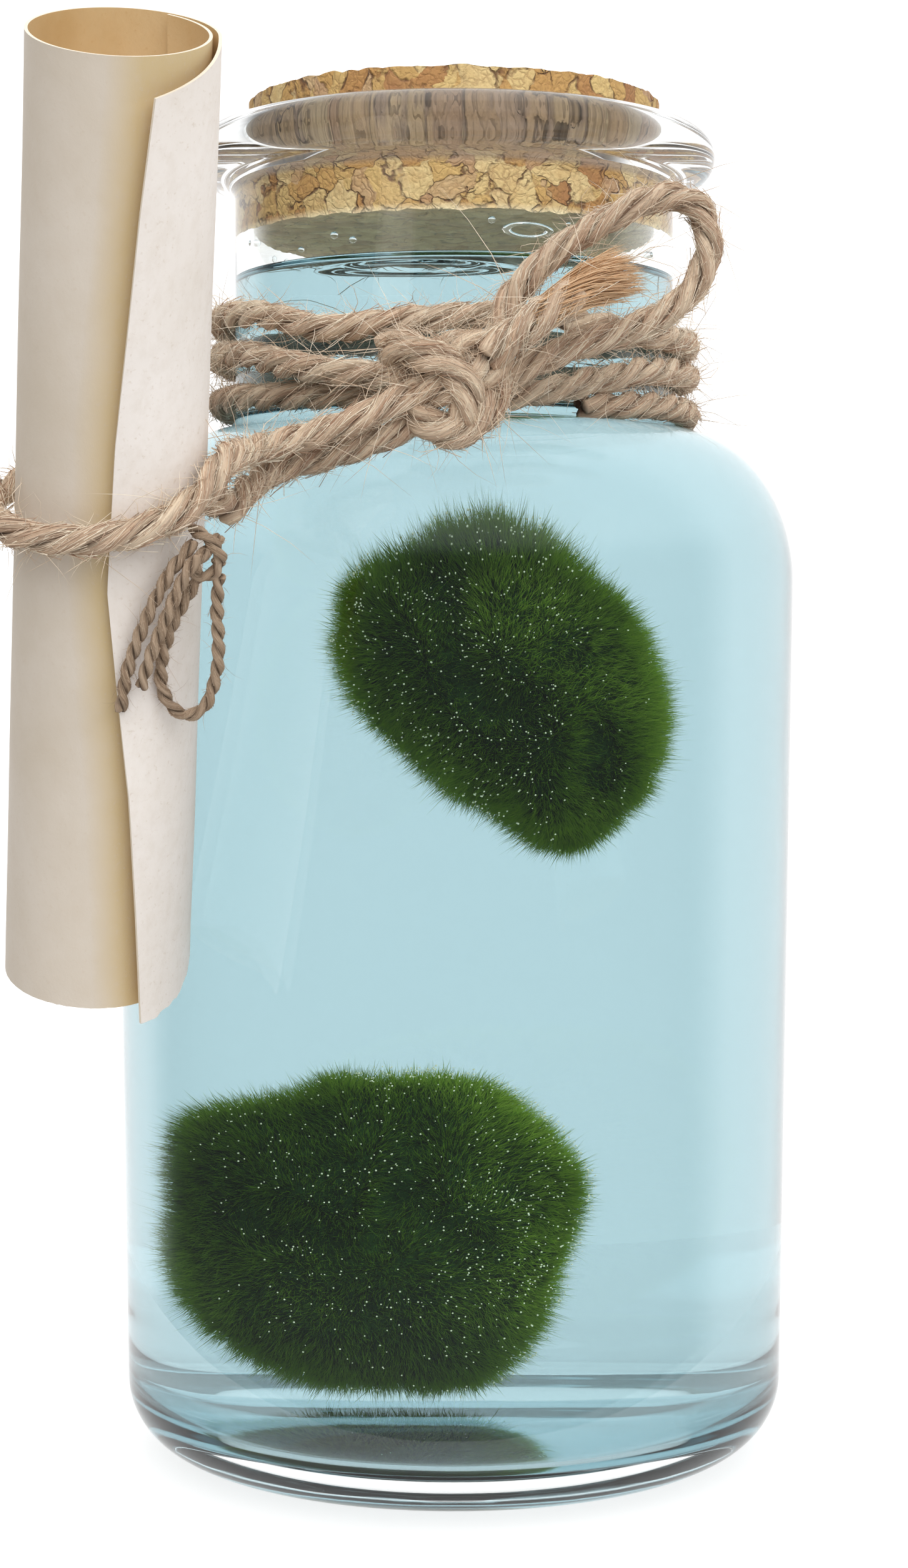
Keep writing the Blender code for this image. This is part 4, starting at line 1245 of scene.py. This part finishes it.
def ringPoints():
    points = []
    for degrees in np.linspace(ring["start"], ring["end"], ring["points"]):
        above = max(0.0, degrees - ring["lowestAt"]) / (ring["start"] - ring["lowestAt"])
        up = ring["lowest"] + ring["rise"] * above ** 3
        radius = rollRadius(up / scroll["length"]) + ring["gap"] + twine["thickness"] / 2
        angle = math.radians(degrees)
        points.append(scrollPlace(Vector((radius * math.sin(angle), -radius * math.cos(angle), up))))
    return points


def layRope(name, line, look, thickness, seed, finishes, slot, node, fibres):
    # A rope, and the fine fibres on its strands.
    piece = settle(ropeMesh(name, line, look, thickness, seed), [finishes[0]], slot, node)
    spines, widths = laidFibres(line, look, thickness, fibres, seed)
    kept = staysClear(spines)
    tints = np.random.default_rng(seed + 900).random((len(spines), 2))
    fuzz = settle(fibreMesh(name + "Fibres", spines[kept], widths[kept], tints[kept]), [finishes[1]], slot)
    return piece, fuzz


def hairsOn(name, line, thickness, perMetre, look, seed, finish, slot):
    return settle(looseHairs(name + "Hairs", line, thickness, perMetre, look, seed), [finish], slot)


def buildTwine():
    jute = twistedJute("jute", (1.0, 0.87, 0.66), (0.82, 0.61, 0.43), (0.27, 0.145, 0.095))
    fibreFinish = looseFibre("juteFibre", (1.0, 0.90, 0.72), (0.44, 0.26, 0.165))
    hairFinish = looseFibre("juteHair", (0.97, 0.86, 0.70), (0.70, 0.52, 0.36))
    finishes = (jute, fibreFinish)
    lines = {name: windingLine(stations) for name, stations in windings.items()}
    lines["bowLoop"] = smoothLine(bowRoute, twine["step"])
    lines["scrollLead"] = smoothLine(list(leadRoute) + ringPoints() + list(returnRoute), twine["step"])
    nodes = {"neckTwineUpper": "neck_twine_upper", "neckTwineMiddle": "neck_twine_middle",
             "neckTwineLower": "neck_twine_lower", "bowLoop": "bow_loop", "scrollLead": "scroll_lead"}
    made = {}

    def addRope(name, line, look, seed, node):
        made[name], made[name + "Fibres"] = layRope(
            name, line, twine, look["thickness"], seed, finishes, "jute", node, look["fibres"])

    def addHairs(name, line, look, seed):
        made[name + "Hairs"] = hairsOn(
            name, line, look["thickness"], look["hairs"], twineHair, seed, hairFinish, "jute")

    for seed, (name, line) in enumerate(lines.items()):
        addRope(name, line, twine, seed + 1, nodes[name])
        addHairs(name, line, twine, seed + 31)
    for seed, (name, route) in enumerate(knotRoutes.items()):
        line = smoothLine(route, twine["step"])
        addRope(name, line, knot, seed + 11, "twine_knot")
        addHairs(name, line, knot, seed + 51)
    line = smoothLine(tailRoute, twine["step"])
    addRope("frayedTail", line[:round(len(line) * tail["laid"])], tail, 17, "frayed_tail")
    brushFinish = looseFibre("brushedJute", (0.92, 0.66, 0.42), (0.62, 0.38, 0.20))
    made["frayedBrush"] = settle(frayedBrush("frayedBrush", line, 19), [brushFinish], "jute")
    addHairs("frayedTail", line, tail, 71)

    def declare(name, others):
        [made[name + "Fibres"], made[name + "Hairs"]] + others

    knotted = [piece for name, piece in made.items() if name.startswith(("knot", "frayed"))]
    declare("neckTwineUpper", [])
    declare("neckTwineMiddle", [])
    declare("neckTwineLower", [])
    declare("bowLoop", knotted)
    declare("scrollLead", [])
    print("twine laid", {name: round(lineLength(line), 4) for name, line in lines.items()})


def frayedBrush(name, line, seed):
    # The tail's untwisted end: fibres that leave the rope at about its middle and spread towards the end.
    rng = np.random.default_rng(seed)
    ahead, side, up = framesAlong(line)
    count = brush["fibres"]
    angle = rng.random(count) * math.tau
    radial = np.sqrt(rng.random(count))
    start = rng.uniform(*brush["starts"], count)
    end = rng.uniform(*brush["ends"], count) - brush["rounding"] * radial
    t = np.linspace(0, 1, brush["rings"])
    places = (start[:, None] + (end - start)[:, None] * t[None]) * (len(line) - 1)
    whole = np.arange(len(line))
    clipped = np.clip(places, 0, len(line) - 1)
    centre = np.stack([np.interp(clipped, whole, line[:, k]) for k in range(3)], axis=-1)
    overrun = (places - clipped)[:, :, None] * twine["step"]
    centre += overrun * ahead[-1]
    turn = angle[:, None] + brush["turn"] * t[None] + rng.normal(0, brush["turnStray"], count)[:, None] * t[None]
    spread = brush["radius"] + brush["flare"] * t[None] ** 1.4
    offset = radial[:, None] * spread + brush["stray"] * rng.normal(0, 1, count)[:, None] * t[None] ** 2
    middle = len(line) * 2 // 3
    away = side[middle] * np.cos(turn)[:, :, None] + up[middle] * np.sin(turn)[:, :, None]
    spines = centre + away * offset[:, :, None]
    widths = (brush["width"] * rng.uniform(0.6, 1.4, count))[:, None] * (1 - 0.55 * t ** 3)[None]
    # Fibres further out in the brush are paler and those in its middle darker: painted shade inside the brush.
    tints = np.stack([np.clip(rng.random(count) * 0.75 + 0.4 * radial - 0.1, 0, 1), rng.random(count)], axis=1)
    return fibreMesh(name, spines, widths, tints)


# ---- the paper scroll and the thin twine on it

scroll = {
    "foot": (-0.0335, -0.0293, 0.0520), "tilt": 21, "lean": 4.6, "length": 0.0857,
    "radiusLow": 0.0089, "radiusHigh": 0.0084, "paper": 0.00028, "rollStep": 0.00085, "rollTurn": 490,
    "flapEdge": ((0.0, 33.5), (0.25, 23), (0.47, 8.5), (0.62, 10.5), (1.0, 25.5)),
    "flapLift": 0.0009, "flapSpan": 75, "topDrop": 0.0030, "endSlant": 0.0007,
    "tear": ((0, -0.0012), (9, -0.0010), (18, -0.0006), (30, -0.0002), (42, 0.0008), (58, 0.0020), (80, 0.0022),
             (120, 0.0008), (160, 0.0), (490, 0.0)),
    "columns": 220, "rows": 96, "tieAt": 0.47, "tieReach": 0.25, "cockle": 0.00010, "topFrom": 0.85, "footTo": 0.12,
    "rag": 0.00030, "ragEnd": 95, "ragInside": 0.12,
}


def scrollPlace(point):
    turn = Euler((math.radians(scroll["tilt"]), math.radians(scroll["lean"]), 0)).to_matrix()
    return turn @ point + Vector(scroll["foot"])


def rollRadius(height):
    return scroll["radiusLow"] + (scroll["radiusHigh"] - scroll["radiusLow"]) * height


def rollPoint(turned, height):
    # A point of the sheet. turned is the angle in degrees from its free edge, and height runs from 0 to 1.
    angle = math.radians(np.interp(height, *zip(*scroll["flapEdge"])) + turned)
    nearEdge = max(0.0, 1 - turned / scroll["flapSpan"])
    fromTie = min(1.0, abs(height - scroll["tieAt"]) / scroll["tieReach"])
    radius = rollRadius(height) - scroll["rollStep"] * min(turned / 360, 1.15)
    radius += scroll["flapLift"] * nearEdge ** 2 * fromTie
    radius += scroll["cockle"] * noise.noise(Vector((turned * 0.02, height * 5, 3.3)))
    up = height * scroll["length"]
    nearTop = max(0.0, height - scroll["topFrom"]) / (1 - scroll["topFrom"])
    nearFoot = max(0.0, scroll["footTo"] - height) / scroll["footTo"]
    ragged = noise.noise(Vector((turned * 0.9, 0, 8.1))) + 0.6 * noise.noise(Vector((turned * 2.7, 0, 4.4)))
    tornShare = 1 if turned < scroll["ragEnd"] else scroll["ragInside"]
    up -= scroll["topDrop"] * nearEdge * nearTop
    up += (eased(scroll["tear"], turned) + scroll["rag"] * ragged * tornShare) * nearFoot
    up -= scroll["endSlant"] * math.cos(angle) * nearTop
    return scrollPlace(Vector((radius * math.sin(angle), -radius * math.cos(angle), up)))


def buildScroll():
    sheet = newPrimitive(
        "paperScroll", bpy.ops.mesh.primitive_grid_add, x_subdivisions=scroll["columns"],
        y_subdivisions=scroll["rows"], size=1.0)
    for point in sheet.data.vertices:
        point.co = rollPoint((point.co.x + 0.5) * scroll["rollTurn"], point.co.y + 0.5)
    # The outside's pale tone is painted light on the flap, its deep tone painted shade further round, and the last
    # colour the painted shadow beside the flap's edge.
    outside = parchment(
        "parchment", (0.97, 0.905, 0.85), (0.69, 0.60, 0.49), (0.68, 0.57, 0.45), paintedFlapShadow=(0.66, 0.50, 0.25))
    # The roll's inside is painted darker and more golden than the outside: painted shade inside the roll, warmed as
    # if lit through the paper.
    inside = parchment("parchmentInside", (0.78, 0.58, 0.32), (0.68, 0.46, 0.21), (0.66, 0.42, 0.18))
    edge = parchment("parchmentEdge", (0.88, 0.80, 0.68), (0.82, 0.72, 0.58), (0.7, 0.58, 0.42))
    settle(sheet, [outside, inside, edge], "parchment", "paper_scroll")
    useModifier(sheet, "SOLIDIFY", thickness=scroll["paper"], offset=-1.0, material_offset=1, material_offset_rim=2)
    pick(sheet)
    bpy.ops.object.shade_smooth_by_angle(angle=math.radians(50))
    print("scroll rolled")


def buildTie():
    brown = twistedJute("thinJute", (0.78, 0.60, 0.44), (0.56, 0.41, 0.28), (0.27, 0.17, 0.11))
    hairFinish = looseFibre("thinJuteHair", (0.72, 0.56, 0.41), (0.40, 0.275, 0.18))
    nodes = {"tieLoop": "tie_loop", "tieTailLeft": "tie_tail_left", "tieTailRight": "tie_tail_right",
             "tieKnotOver": "tie_knot", "tieKnotUnder": "tie_knot"}
    made = {}
    for seed, (name, route) in enumerate(tieRoutes.items()):
        line = smoothLine(route, thinTwine["step"])
        made[name], made[name + "Fibres"] = layRope(
            name, line, thinTwine, thinTwine["thickness"], seed + 81, (brown, hairFinish), "thin_jute", nodes[name],
            thinTwine["fibres"])
        made[name + "Hairs"] = hairsOn(
            name, line, thinTwine["thickness"], thinTwine["hairs"], tieHair, seed + 91, hairFinish, "thin_jute")
    others = [piece for name, piece in made.items() if name != "tieLoop"]
    line = smoothLine(tieRoutes["tieLoop"], thinTwine["step"])
    print("tie knotted", round(lineLength(line), 4))


lamp = setUpStudio()
buildTwine()
buildScroll()
buildTie()
keepLampOffGlass(lamp, [buildJar(), buildWater()])
buildCork()
buildDrops()
for ball in moss:
    buildMoss(ball)
